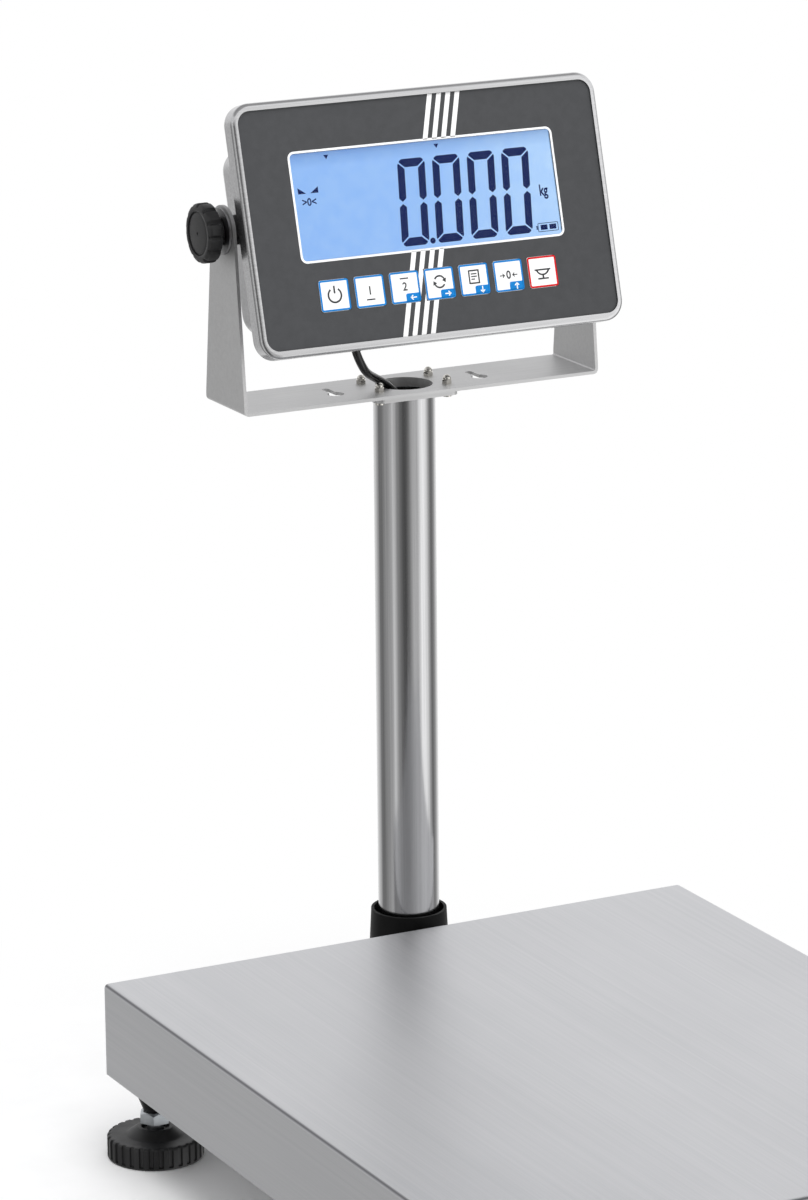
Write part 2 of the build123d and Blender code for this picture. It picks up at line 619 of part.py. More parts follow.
def bracket_bolts():
    length = BRACKET_PLATE + BRACKET_DROP + RAIL_WALL
    return [m6_screw(BRACKET_BOTTOM, length, x, y) for x, y in bracket_bolt_places()]


def socket_screw_places():
    reach = (SOCKET_BASE_RADIUS + COLUMN_RADIUS) / 2 / sqrt(2)
    return [
        (COLUMN_OFFSET_X + a * reach, COLUMN_Y + b * reach) for a in (-1, 1) for b in (-1, 1)
    ]


def column_socket():
    """Black tapered socket: it grips the tube's foot and stands clear of it at the top."""
    height = SOCKET_TOP - BRACKET_TOP
    body = Cone(SOCKET_BASE_RADIUS, SOCKET_TOP_RADIUS, height)
    body = Pos(COLUMN_OFFSET_X, COLUMN_Y, BRACKET_TOP + height / 2) * body
    body = body - rod(COLUMN_RADIUS + RUNNING_FIT, height, COLUMN_OFFSET_X, COLUMN_Y, TUBE_BOTTOM)
    grip_top = TUBE_BOTTOM + SOCKET_GRIP
    mouth_radius = SOCKET_TOP_RADIUS - SOCKET_LIP
    body = body - rod(mouth_radius, SOCKET_TOP - grip_top, COLUMN_OFFSET_X, COLUMN_Y, grip_top)
    body = body - cable_slot(BRACKET_TOP, SOCKET_FLOOR)
    for x, y in socket_screw_places():
        body = body - rod(SOCKET_SCREW_DIAMETER / 2, SOCKET_SCREW_BORE, x, y, BRACKET_TOP)
    return body


def socket_screws():
    size = (SOCKET_SCREW_DIAMETER, SOCKET_SCREW_HEX, SOCKET_SCREW_HEAD)
    length = BRACKET_PLATE + SOCKET_SCREW_GRIP
    return [screw_up(*size, BRACKET_BOTTOM, length, x, y) for x, y in socket_screw_places()]


def column_tube():
    height = TUBE_TOP - TUBE_BOTTOM
    tube = rod(COLUMN_RADIUS, height, COLUMN_OFFSET_X, COLUMN_Y, TUBE_BOTTOM)
    return tube - rod(TUBE_BORE, height, COLUMN_OFFSET_X, COLUMN_Y, TUBE_BOTTOM)


def cap_nut_places():
    half_x = CAP_NUT_SPREAD_X / 2
    half_y = CAP_NUT_SPREAD_Y / 2
    return [
        (COLUMN_OFFSET_X + a * half_x, COLUMN_Y + b * half_y) for a in (-1, 1) for b in (-1, 1)
    ]


def column_flange():
    """Plate welded on the tube's top, under the head bracket."""
    outline = RectangleRounded(FLANGE_WIDTH, FLANGE_DEPTH, FLANGE_CORNER)
    flange = extrude(outline, FLANGE_THICKNESS)
    flange = Pos(COLUMN_OFFSET_X, COLUMN_Y, TUBE_TOP) * flange
    flange = flange - rod(STRIP_HOLE_RADIUS, FLANGE_THICKNESS, COLUMN_OFFSET_X, COLUMN_Y, TUBE_TOP)
    for x, y in cap_nut_places():
        flange = flange - rod(CAP_NUT_SCREW / 2 + SCREW_PLAY, FLANGE_THICKNESS, x, y, TUBE_TOP)
    return flange


def flange_screws():
    """Pan-head screws up through the flange and the bracket into the cap nuts."""
    length = FLANGE_THICKNESS + STRIP_SHEET + CAP_NUT_HEIGHT * 0.55
    screw = rod(SMALL_HEAD_RADIUS, SMALL_HEAD_HEIGHT, bottom=TUBE_TOP - SMALL_HEAD_HEIGHT)
    screw = screw + rod(CAP_NUT_SCREW / 2, length, bottom=TUBE_TOP)
    return [Pos(x, y, 0) * screw for x, y in cap_nut_places()]


def cap_nuts():
    nuts = []
    hex_height = CAP_NUT_HEIGHT * 0.5
    dome_radius = CAP_NUT_HEX / 2 * 0.9
    for x, y in cap_nut_places():
        nut = hexagon_bar(CAP_NUT_HEX, hex_height, x, y, STRIP_TOP_HEIGHT)
        dome_rise = CAP_NUT_HEIGHT - hex_height - dome_radius
        dome = rod(dome_radius, hex_height + dome_rise, x, y, STRIP_TOP_HEIGHT)
        dome = dome + Pos(x, y, STRIP_TOP_HEIGHT + CAP_NUT_HEIGHT - dome_radius) * Sphere(dome_radius)
        above_strip = block(2 * CAP_NUT_HEX, 2 * CAP_NUT_HEX, CAP_NUT_HEIGHT, x, y, STRIP_TOP_HEIGHT)
        nut = nut + (dome & above_strip)
        nuts.append(nut - rod(CAP_NUT_SCREW / 2, CAP_NUT_HEIGHT * 0.6, x, y, STRIP_TOP_HEIGHT))
    return nuts


def upright_outline():
    """Side view of an upright, in Y and Z about the tilt axis: tapered, round on top."""
    foot = -PIVOT_RISE - STRIP_SHEET
    foot_band = Pos(0, foot + STRIP_BEND) * Rectangle(STRIP_DEPTH, 2 * STRIP_BEND)
    return make_hull(Circle(UPRIGHT_TOP_RADIUS).edges() + foot_band.edges())


def head_bracket():
    """U-shaped sheet bracket: a strip on the column with an upright at each end."""
    height = PIVOT_RISE + STRIP_SHEET + UPRIGHT_TOP_RADIUS
    outer = block(STRIP_WIDTH, STRIP_DEPTH, height, bottom=STRIP_BOTTOM)
    outer = fillet(outer.edges().filter_by(Axis.Y).group_by(Axis.Z)[0], STRIP_BEND)
    inner = block(2 * UPRIGHT_IN, STRIP_DEPTH, height, bottom=STRIP_TOP_HEIGHT)
    inner = fillet(inner.edges().filter_by(Axis.Y).group_by(Axis.Z)[0], STRIP_BEND - STRIP_SHEET)
    side_view = Plane(origin=(-STRIP_WIDTH / 2, 0, PIVOT_HEIGHT), x_dir=(0, 1, 0), z_dir=(1, 0, 0))
    body = (outer - inner) & extrude(side_view * upright_outline(), STRIP_WIDTH)
    hole_radius = PIVOT_STUD_DIAMETER / 2 + PART_GAP
    pivot_hole = Pos(0, 0, PIVOT_HEIGHT) * Rot(0, 90, 0) * Cylinder(hole_radius, STRIP_WIDTH)
    body = body - pivot_hole
    body = body - rod(STRIP_HOLE_RADIUS, STRIP_SHEET, bottom=STRIP_BOTTOM)
    for side in (-1, 1):
        x = side * KEYHOLE_SPREAD / 2
        slot_end = KEYHOLE_SLOT_LENGTH - KEYHOLE_HEAD_FORWARD
        slot_middle = (slot_end - KEYHOLE_HEAD_FORWARD) / 2
        slot_size = (KEYHOLE_SLOT_WIDTH, KEYHOLE_SLOT_LENGTH, STRIP_SHEET)
        body = body - rod(KEYHOLE_HEAD_RADIUS, STRIP_SHEET, x, -KEYHOLE_HEAD_FORWARD, STRIP_BOTTOM)
        body = body - block(*slot_size, x, slot_middle, STRIP_BOTTOM)
        body = body - rod(KEYHOLE_SLOT_WIDTH / 2, STRIP_SHEET, x, slot_end, STRIP_BOTTOM)
    body = Pos(COLUMN_OFFSET_X, COLUMN_Y, 0) * body
    for x, y in cap_nut_places():
        body = body - rod(CAP_NUT_SCREW / 2 + SCREW_PLAY, STRIP_SHEET, x, y, STRIP_BOTTOM)
    return body


# ---------------------------------------------------------------- display head
def front_shell():
    """Pressed stainless front: a shallow tray with a raised rim round the keypad."""
    body = plate(FRONT_WIDTH, FRONT_HEIGHT, FRONT_CORNER, SHELL_BACK, RIM_FRONT, -FACE_DROP)
    body = fillet(body.edges().group_by(Axis.Z)[-1], FRONT_EDGE)
    wall = HEAD_SHEET
    inside_width = FRONT_WIDTH - 2 * wall
    inside_height = FRONT_HEIGHT - 2 * wall
    inside = (inside_width, inside_height, FRONT_CORNER - wall)
    ledge_hole = (inside_width - 2 * LEDGE_WIDTH, inside_height - 2 * LEDGE_WIDTH, FRONT_CORNER - wall)
    ledge_top = LEDGE_BACK + LEDGE_THICKNESS
    body = body - plate(*inside, SHELL_BACK, LEDGE_BACK, -FACE_DROP)
    body = body - plate(*ledge_hole, LEDGE_BACK, ledge_top, -FACE_DROP)
    body = body - plate(*inside, ledge_top, FRONT_PLATE_BACK, -FACE_DROP)
    overlay_size = (OVERLAY_WIDTH, OVERLAY_HEIGHT, OVERLAY_CORNER)
    body = body - plate(*overlay_size, RECESS_FLOOR, RIM_FRONT, -FACE_DROP)
    lcd_width = WINDOW_WIDTH - 2 * LCD_MARGIN + 2 * PART_GAP
    lcd_height = WINDOW_HEIGHT - 2 * LCD_MARGIN + 2 * PART_GAP
    lcd_size = (lcd_width, lcd_height, LCD_MARGIN)
    body = body - plate(*lcd_size, FRONT_PLATE_BACK, RECESS_FLOOR, WINDOW_MIDDLE)
    hole_radius = KEY_STEM_RADIUS + KEY_STEM_CLEARANCE
    for x in KEY_PLACES:
        body = body - rod(hole_radius, HEAD_SHEET, x, KEY_ROW, FRONT_PLATE_BACK)
    for x, y in shell_screw_places():
        body = body - rod(SHELL_SCREW_DIAMETER / 2, LEDGE_THICKNESS, x, y, LEDGE_BACK)
    return on_head(body)


def shell_screw_places():
    reach_x = FRONT_WIDTH / 2 - HEAD_SHEET - LEDGE_WIDTH / 2
    reach_y = FRONT_HEIGHT / 2 - HEAD_SHEET - LEDGE_WIDTH / 2
    places = []
    for a in (-1, 1):
        for b in (-1, 1):
            places.append((a * (reach_x - SHELL_SCREW_FROM_CORNER), -FACE_DROP + b * reach_y))
        places.append((0, -FACE_DROP + a * reach_y))
        places.append((a * reach_x, -FACE_DROP))
    return places


def shell_gasket():
    wall = HEAD_SHEET + PART_GAP
    width = FRONT_WIDTH - 2 * wall
    height = FRONT_HEIGHT - 2 * wall
    corner = FRONT_CORNER - wall
    band = 2 * (LEDGE_WIDTH - GASKET_SIDE_PLAY)
    ring = plate(width, height, corner, REAR_FLANGE_FRONT, LEDGE_BACK, -FACE_DROP)
    ring = ring - plate(
        width - band, height - band, corner, REAR_FLANGE_FRONT, LEDGE_BACK, -FACE_DROP
    )
    loose_hole = SHELL_SCREW_DIAMETER / 2 + SCREW_PLAY
    for x, y in shell_screw_places():
        ring = ring - rod(loose_hole, GASKET_THICKNESS, x, y, REAR_FLANGE_FRONT)
    return on_head(ring)


def rear_shell():
    """Deep-drawn rear shell with a flange that closes the front shell's back."""
    wall = HEAD_SHEET
    outer = plate(REAR_WIDTH, REAR_HEIGHT, REAR_CORNER, REAR_BACK, SHELL_BACK, REAR_MIDDLE)
    outer = fillet(outer.edges().group_by(Axis.Z)[0], REAR_EDGE)
    inside_size = (REAR_WIDTH - 2 * wall, REAR_HEIGHT - 2 * wall, REAR_CORNER - wall)
    inside = plate(*inside_size, REAR_BACK + wall, SHELL_BACK, REAR_MIDDLE)
    inside = fillet(inside.edges().group_by(Axis.Z)[0], REAR_EDGE - wall)
    edge = wall + PART_GAP
    flange_size = (FRONT_WIDTH - 2 * edge, FRONT_HEIGHT - 2 * edge, FRONT_CORNER - edge)
    flange = plate(*flange_size, SHELL_BACK, REAR_FLANGE_FRONT, -FACE_DROP)
    flange = flange - plate(*inside_size, SHELL_BACK, REAR_FLANGE_FRONT, REAR_MIDDLE)
    body = (outer - inside) + flange
    for x, y in shell_screw_places():
        body = body - rod(SHELL_SCREW_DIAMETER / 2 + SCREW_PLAY, HEAD_SHEET, x, y, SHELL_BACK)
    half = REAR_WIDTH / 2
    for side in (-1, 1):
        body = body - side_rod(BUSH_BARREL_RADIUS, half - REAR_EDGE, half + wall, side)
    body = body - bottom_hole(GLAND_ACROSS, GLAND_THREAD_RADIUS)
    body = body - bottom_hole(-GLAND_ACROSS, INLET_RADIUS)
    return on_head(body)


def bottom_rod(radius, across, low, high):
    """A cylinder along V, square to the rear shell's underside."""
    return Pos(across, (low + high) / 2, GLAND_OUT) * Rot(90, 0, 0) * Cylinder(radius, high - low)


def bottom_hole(across, radius):
    return bottom_rod(radius, across, REAR_BOTTOM - HEAD_SHEET, REAR_BOTTOM + 2 * HEAD_SHEET)


def shell_screws():
    """Pan-head screws from behind, through flange and gasket into the front shell."""
    length = HEAD_SHEET + GASKET_THICKNESS + LEDGE_THICKNESS
    screw = rod(SMALL_HEAD_RADIUS, SMALL_HEAD_HEIGHT, bottom=SHELL_BACK - SMALL_HEAD_HEIGHT)
    screw = screw + rod(SHELL_SCREW_DIAMETER / 2, length, bottom=SHELL_BACK)
    return [on_head(Pos(x, y, 0) * screw) for x, y in shell_screw_places()]


def keypad_overlay():
    """Polyester front overlay, with cut-outs for the window and the seven keys."""
    play = FILM_PLAY
    size = (OVERLAY_WIDTH - 2 * play, OVERLAY_HEIGHT - 2 * play, OVERLAY_CORNER - play)
    body = plate(*size, RECESS_FLOOR, FACE_OUT, -FACE_DROP)
    window = (WINDOW_WIDTH, WINDOW_HEIGHT, WINDOW_CORNER)
    body = body - plate(*window, RECESS_FLOOR, FACE_OUT, WINDOW_MIDDLE)
    hole_width = KEY_WIDTH + 2 * PART_GAP
    hole_height = KEY_HEIGHT + 2 * PART_GAP
    hole = plate(hole_width, hole_height, KEY_CORNER + PART_GAP, RECESS_FLOOR, FACE_OUT, KEY_ROW)
    for x in KEY_PLACES:
        body = body - Pos(x, 0, 0) * hole
    return on_head(body)


def display_window():
    play = FILM_PLAY
    size = (WINDOW_WIDTH - 2 * play, WINDOW_HEIGHT - 2 * play, WINDOW_CORNER - play)
    return on_head(plate(*size, RECESS_FLOOR, FACE_OUT, WINDOW_MIDDLE))


def lcd_glass():
    width = WINDOW_WIDTH - 2 * LCD_MARGIN
    height = WINDOW_HEIGHT - 2 * LCD_MARGIN
    return on_head(plate(width, height, LCD_MARGIN / 2, LCD_BACK, LCD_FRONT, WINDOW_MIDDLE))


def backlight():
    width = WINDOW_WIDTH - 2 * LCD_MARGIN + 2 * BACKLIGHT_MARGIN
    height = WINDOW_HEIGHT - 2 * LCD_MARGIN + 2 * BACKLIGHT_MARGIN
    return on_head(plate(width, height, BACKLIGHT_MARGIN / 2, BOARD_FRONT, LCD_BACK, WINDOW_MIDDLE))


def board_post_places():
    reach_x = BOARD_WIDTH / 2 - BOARD_SCREW_INSET
    reach_y = BOARD_HEIGHT / 2 - BOARD_SCREW_INSET
    return [(a * reach_x, -FACE_DROP + b * reach_y) for a in (-1, 1) for b in (-1, 1)]


def main_board():
    board = plate(BOARD_WIDTH, BOARD_HEIGHT, 2.0, BOARD_BACK, BOARD_FRONT, -FACE_DROP)
    for x, y in board_post_places():
        board = board - rod(BOARD_SCREW_RADIUS + SCREW_PLAY, BOARD_THICKNESS, x, y, BOARD_BACK)
    return on_head(board)


def board_standoffs():
    height = FRONT_PLATE_BACK - BOARD_FRONT
    post = rod(BOARD_POST_RADIUS, height, bottom=BOARD_FRONT)
    post = post - rod(BOARD_SCREW_RADIUS, height, bottom=BOARD_FRONT)
    return [on_head(Pos(x, y, 0) * post) for x, y in board_post_places()]


def board_screws():
    length = BOARD_THICKNESS + BOARD_SCREW_GRIP
    screw = rod(BOARD_HEAD_RADIUS, BOARD_HEAD_HEIGHT, bottom=BOARD_BACK - BOARD_HEAD_HEIGHT)
    screw = screw + rod(BOARD_SCREW_RADIUS, length, bottom=BOARD_BACK)
    return [on_head(Pos(x, y, 0) * screw) for x, y in board_post_places()]


def key_switches():
    """Low tact switches on the board, one behind each key."""
    return [
        on_head(block(SWITCH_SIZE, SWITCH_SIZE, SWITCH_BODY, x, KEY_ROW, BOARD_FRONT)) for x in KEY_PLACES
    ]


def key(number):
    """A key cap with a stem that reaches to just above its switch."""
    x = KEY_PLACES[number - 1]
    cap = plate(KEY_WIDTH, KEY_HEIGHT, KEY_CORNER, KEY_BACK, KEY_FRONT, KEY_ROW)
    stem_end = SWITCH_TOP + KEY_TRAVEL + PART_GAP
    stem = rod(KEY_STEM_RADIUS, KEY_BACK - stem_end, 0, KEY_ROW, stem_end)
    return on_head(Pos(x, 0, 0) * (cap + stem))


def battery_places():
    return [(number - (BATTERY_COUNT - 1) / 2) * BATTERY_PITCH for number in range(BATTERY_COUNT)]


def battery_pack():
    """Rechargeable cells side by side in the rear shell, behind the board."""
    radius = BATTERY_DIAMETER / 2
    out = BATTERY_FLOOR + BATTERY_TRAY + radius + BATTERY_GAP / 4
    return [
        on_head(Pos(x, BATTERY_MIDDLE, out) * Rot(90, 0, 0) * Cylinder(radius, BATTERY_LENGTH))
        for x in battery_places()
    ]


def battery_bracket():
    """Sheet tray that holds the cells against the rear shell's back."""
    width = BATTERY_COUNT * BATTERY_PITCH + BATTERY_GAP
    height = BATTERY_LENGTH + BATTERY_GAP
    outer_size = (width + 2 * BATTERY_TRAY, height + 2 * BATTERY_TRAY, BATTERY_DIAMETER * 0.6)
    tray = block(*outer_size, 0, BATTERY_MIDDLE, BATTERY_FLOOR)
    inside = block(width, height, BATTERY_DIAMETER, 0, BATTERY_MIDDLE, BATTERY_FLOOR + BATTERY_TRAY)
    return on_head(tray - inside)


def cable_gland():
    """Black gland through the underside: body, clamping cap and a passage for the cable."""
    thread_end = REAR_BOTTOM + GLAND_THREAD_LENGTH
    body = bottom_rod(GLAND_BODY_RADIUS, GLAND_ACROSS, GLAND_MOUTH, REAR_BOTTOM)
    body = fillet(body.edges().group_by(Axis.Y)[0], GLAND_BODY_RADIUS / 5)
    body = body + bottom_rod(GLAND_THREAD_RADIUS, GLAND_ACROSS, REAR_BOTTOM, thread_end)
    return on_head(body - bottom_rod(CABLE_RADIUS, GLAND_ACROSS, GLAND_MOUTH, thread_end))


def gland_nut():
    low = REAR_BOTTOM + HEAD_SHEET
    high = low + GLAND_NUT_THICKNESS
    nut = bottom_rod(GLAND_NUT_RADIUS, GLAND_ACROSS, low, high)
    return on_head(nut - bottom_rod(GLAND_THREAD_RADIUS, GLAND_ACROSS, low, high))


def power_inlet():
    """Low-voltage barrel inlet in the underside, on the other side from the gland."""
    across = -GLAND_ACROSS
    mouth = REAR_BOTTOM - INLET_FLANGE
    bore_end = REAR_BOTTOM + INLET_BORE_DEPTH
    body = bottom_rod(INLET_RADIUS + INLET_FLANGE, across, mouth, REAR_BOTTOM)
    body = body + bottom_rod(INLET_RADIUS, across, REAR_BOTTOM, REAR_BOTTOM + INLET_LENGTH)
    body = body - bottom_rod(INLET_BORE_RADIUS, across, mouth, bore_end)
    return on_head(body + bottom_rod(INLET_PIN_RADIUS, across, REAR_BOTTOM + INLET_PIN_BACK, bore_end))


# ----------------------------------------------------------------- tilt pivots
def pivot_bushes():
    """Threaded bushes welded into the rear shell's sides, which the pivot studs screw into."""
    inner_end = REAR_WIDTH / 2 - BUSH_DEPTH
    bore = PIVOT_STUD_DIAMETER / 2 + RUNNING_FIT
    return [
        on_head(side_ring(BUSH_BARREL_RADIUS, bore, inner_end, BUSH_FACE, side)) for side in (-1, 1)
    ]


def spacer_washers():
    """Plastic spacers between the head and the bracket's uprights."""
    bore = PIVOT_STUD_DIAMETER / 2 + PART_GAP
    return [
        on_head(side_ring(SPACER_RADIUS, bore, BUSH_FACE, UPRIGHT_IN - PART_GAP, side))
        for side in (-1, 1)
    ]


def outer_washer(side):
    """Steel washer outside an upright, under the knob or under the screw's head."""
    bore = PIVOT_STUD_DIAMETER / 2 + PART_GAP
    return on_head(side_ring(KNOB_WASHER_RADIUS, bore, KNOB_WASHER_IN, KNOB_WASHER_OUT, side))


def knob_left():
    """Clamping knob: grooved black head on a neck, with its steel stud moulded in."""
    side = -1
    neck = side_rod(KNOB_NECK_RADIUS, KNOB_IN, KNOB_HEAD_IN, side)
    head = side_rod(KNOB_RADIUS, KNOB_HEAD_IN, KNOB_OUT, side)
    head = fillet(head.edges().group_by(Axis.X)[0], KNOB_EDGE)
    groove = side_rod(KNOB_GROOVE_RADIUS, KNOB_HEAD_IN, KNOB_OUT, side)
    groove = Pos(0, KNOB_RADIUS + KNOB_GROOVE_RADIUS * 0.45, 0) * groove
    for number in range(KNOB_GROOVES):
        head = head - Rot(360 / KNOB_GROOVES * number, 0, 0) * groove
    ring_radius = KNOB_DISC_RADIUS + KNOB_DISC_GROOVE
    ring_floor = KNOB_OUT - KNOB_DISC_GROOVE
    ring_cut = side_ring(ring_radius, KNOB_DISC_RADIUS, ring_floor, KNOB_OUT, side)
    stud = side_rod(PIVOT_STUD_DIAMETER / 2, STUD_END, KNOB_IN, side)
    return on_head(neck + (head - ring_cut) + stud)


def pivot_screw():
    """Button-head screw with a hexagon socket, the fixed side of the tilt axis."""
    side = 1
    head_out = KNOB_WASHER_OUT + BUTTON_HEAD_HEIGHT
    head = side_rod(BUTTON_HEAD_RADIUS, KNOB_WASHER_OUT, head_out, side)
    head = fillet(head.edges().group_by(Axis.X)[-1], BUTTON_HEAD_HEIGHT * 0.7)
    hexagon = RegularPolygon(BUTTON_SOCKET_HEX / 2, 6, major_radius=False)
    socket = Rot(0, 90, 0) * extrude(hexagon, BUTTON_SOCKET_DEPTH)
    head = head - Pos(head_out - BUTTON_SOCKET_DEPTH, 0, 0) * socket
    stud = side_rod(PIVOT_STUD_DIAMETER / 2, STUD_END, KNOB_WASHER_OUT, side)
    return on_head(head + stud)


# ----------------------------------------------------------------------- cable
def cable_loop():
    """The free cable from the head's gland over the strip and into the column's mouth."""
    mouth = HEAD.from_local_coords((GLAND_ACROSS, GLAND_MOUTH, GLAND_OUT))
    gland_mouth = (mouth.X - COLUMN_OFFSET_X, mouth.Y - COLUMN_Y, mouth.Z - STRIP_TOP_HEIGHT)
    route = [
        gland_mouth,
        (-46.5, -25.4, 35.0),
        (-44.7, -25.6, 27.9),
        (-40.7, -23.8, 20.6),
        (-35.0, -19.0, 14.2),
        (-27.0, -11.0, 9.5),
        (-15.5, -4.4, 2.9),
        (-5.0, -1.5, -6.0),
        (0.0, 0.0, -18.0),
        (0.0, 0.0, -30.0),
    ]
    points = [(x + COLUMN_OFFSET_X, y + COLUMN_Y, z + STRIP_TOP_HEIGHT) for x, y, z in route]
    return tube_along(points, arc_radii(points), CABLE_DIAMETER), points[-1]


def cable_run(top):
    """The fixed cable: down inside the column, through its bracket and up to the load cell."""
    under = BRACKET_BOTTOM - CABLE_RADIUS - SCREW_TIP_GAP
    cell_side = PAN_MIDDLE + CELL_WIDTH / 2
    cell_height = CELL_BOTTOM + CELL_HEIGHT / 2
    front = PAN_MIDDLE + FOOT_Y - RAIL_WIDTH / 2
    on_bridge = RAIL_BOTTOM + BRIDGE_THICKNESS + CABLE_RADIUS + PART_GAP
    along = FIXED_END_X + BRIDGE_WIDTH / 4
    points = [
        top,
        (COLUMN_OFFSET_X, COLUMN_Y, under),
        (COLUMN_OFFSET_X, front - 6.0, under),
        (COLUMN_OFFSET_X - 10.0, front - 34.0, under + 18.0),
        (COLUMN_OFFSET_X - 30.0, front - 60.0, on_bridge + 2.0),
        (along, front - 100.0, on_bridge),
        (along, cell_side + 34.0, on_bridge),
        (along, cell_side + 12.0, cell_height - 4.0),
        (along, cell_side, cell_height),
    ]
    radii = arc_radii(points)
    radii[0] = min(radii[0], CABLE_BEND)
    return tube_along(points, radii, CABLE_DIAMETER)


# ---------------------------------------------------------------------- output
def build():
    loop, loop_end = cable_loop()
    nodes = {
        "weighing_pan": weighing_pan(),
        "foot_bushes": [foot_bush(x, y) for x, y in FOOT_PLACES],
        "base_frame": base_frame(),
        "load_cell": load_cell(),
        "lower_spacer": cell_spacer(FIXED_END_X, RAIL_BOTTOM + BRIDGE_THICKNESS),
        "upper_spacer": cell_spacer(LIVE_END_X, CELL_TOP),
        "lower_cell_screws": lower_cell_screws(),
        "upper_cell_screws": upper_cell_screws(),
        "upper_frame": upper_frame(),
        "pan_buffers": pan_buffers(),
        "overload_stops": overload_stops(),
        "column_bracket": column_bracket(),
        "bracket_bolts": bracket_bolts(),
        "column_socket": column_socket(),
        "socket_screws": socket_screws(),
        "column_tube": column_tube(),
        "column_flange": column_flange(),
        "flange_screws": flange_screws(),
        "cap_nuts": cap_nuts(),
        "head_bracket": head_bracket(),
        "cable_run": cable_run(loop_end),
        "cable_loop": loop,
        "front_shell": front_shell(),
        "rear_shell": rear_shell(),
        "shell_gasket": shell_gasket(),
        "shell_screws": shell_screws(),
        "keypad_overlay": keypad_overlay(),
        "display_window": display_window(),
        "lcd_glass": lcd_glass(),
        "backlight": backlight(),
        "main_board": main_board(),
        "board_standoffs": board_standoffs(),
        "board_screws": board_screws(),
        "key_switches": key_switches(),
        "battery_pack": battery_pack(),
        "battery_bracket": battery_bracket(),
        "cable_gland": cable_gland(),
        "gland_nut": gland_nut(),
        "power_inlet": power_inlet(),
        "pivot_bushes": pivot_bushes(),
        "spacer_washers": spacer_washers(),
        "knob_left": knob_left(),
        "knob_washer": outer_washer(-1),
        "pivot_screw": pivot_screw(),
        "pivot_washer": outer_washer(1),
    }
    for number, (x, y) in enumerate(FOOT_PLACES, 1):
        nodes[f"foot_pad_{number}"] = foot_pad(x, y)
        nodes[f"foot_stud_{number}"] = foot_stud(x, y)
    for number in range(1, KEY_COUNT + 1):
        nodes[f"key_{number}"] = key(number)
    return nodes


os.makedirs("parts", exist_ok=True)
for name, shape in build().items():
    if isinstance(shape, list):
        shape = Compound(children=[solid for piece in shape for solid in piece.solids()])
    export_step(shape, f"parts/{name}.step")
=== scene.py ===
import json
from math import cos, pi, radians, sin

import bmesh
import bpy
from mathutils import Matrix, Vector


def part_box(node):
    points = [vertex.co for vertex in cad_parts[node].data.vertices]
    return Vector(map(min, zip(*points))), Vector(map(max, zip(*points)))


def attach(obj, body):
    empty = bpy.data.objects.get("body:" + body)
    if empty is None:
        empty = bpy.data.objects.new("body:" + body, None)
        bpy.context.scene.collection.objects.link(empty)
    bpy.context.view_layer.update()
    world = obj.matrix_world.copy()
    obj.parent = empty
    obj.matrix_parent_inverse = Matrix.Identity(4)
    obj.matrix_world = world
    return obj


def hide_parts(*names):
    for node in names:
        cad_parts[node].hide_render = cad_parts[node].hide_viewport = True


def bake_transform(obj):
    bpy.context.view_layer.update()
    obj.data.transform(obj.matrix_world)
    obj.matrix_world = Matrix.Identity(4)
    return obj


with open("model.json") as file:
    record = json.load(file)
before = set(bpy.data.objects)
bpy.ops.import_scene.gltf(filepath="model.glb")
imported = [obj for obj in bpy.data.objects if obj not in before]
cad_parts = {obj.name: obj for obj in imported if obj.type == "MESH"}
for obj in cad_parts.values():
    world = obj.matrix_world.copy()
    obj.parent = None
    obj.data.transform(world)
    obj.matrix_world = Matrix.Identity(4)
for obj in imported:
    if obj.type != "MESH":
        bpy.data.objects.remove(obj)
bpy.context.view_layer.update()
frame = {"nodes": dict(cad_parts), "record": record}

bl_info = {
    "name": "Bench scale",
    "version": (1, 0, 0),
    "blender": (4, 5, 0),
    "location": "3D View > Sidebar > Bench scale",
    "description": "Finishes, detailed pieces and studio for a bench scale with a display head",
    "category": "Object",
}

MM = 0.001


# ----------------------------------------------------------- property shorthand
def length(name, description, millimetres):
    """A length property, given in millimetres and kept in metres."""
    return bpy.props.FloatProperty(
        name=name, description=description, default=millimetres * MM, unit="LENGTH", precision=5
    )


def linear(code):
    """Turn an sRGB hex value into a linear colour with full opacity."""
    parts = [int(code[start:start + 2], 16) / 255 for start in (1, 3, 5)]
    parts = [part / 12.92 if part <= 0.04045 else ((part + 0.055) / 1.055) ** 2.4 for part in parts]
    return (*parts, 1.0)


class BenchScaleFace(bpy.types.PropertyGroup):
    tilt: bpy.props.FloatProperty(
        name="Tilt", description="How far the head leans back", default=radians(15.87), subtype="ANGLE"
    )
    out: length("Face out", "From the tilt axis out to the keypad's front", 36.6)
    drop: length("Face drop", "From the tilt axis down to the keypad's middle", 5.1)
    ink: length("Ink thickness", "How far the printing stands on the film", 0.05)
    window_width: length("Window width", "Width of the display window", 176.0)
    window_height: length("Window height", "Height of the display window", 65.3)
    window_rise: length("Window rise", "From the tilt axis up to the window's middle", 6.55)
    outline: length("Outline", "Width of the white line round the window", 1.3)
    stripe_width: length("Stripe width", "Width of each slanted stripe", 3.2)
    stripe_pitch: length("Stripe pitch", "From stripe to stripe", 6.2)
    stripe_top: length("Stripe start", "Across to the first stripe at the keypad's top edge", 8.6)
    stripe_lean: bpy.props.FloatProperty(
        name="Stripe lean",
        description="Sideways shift of the stripes for each unit of height",
        default=0.2625,
    )
    stripe_count: bpy.props.IntProperty(name="Stripes", description="Number of slanted stripes", default=4)


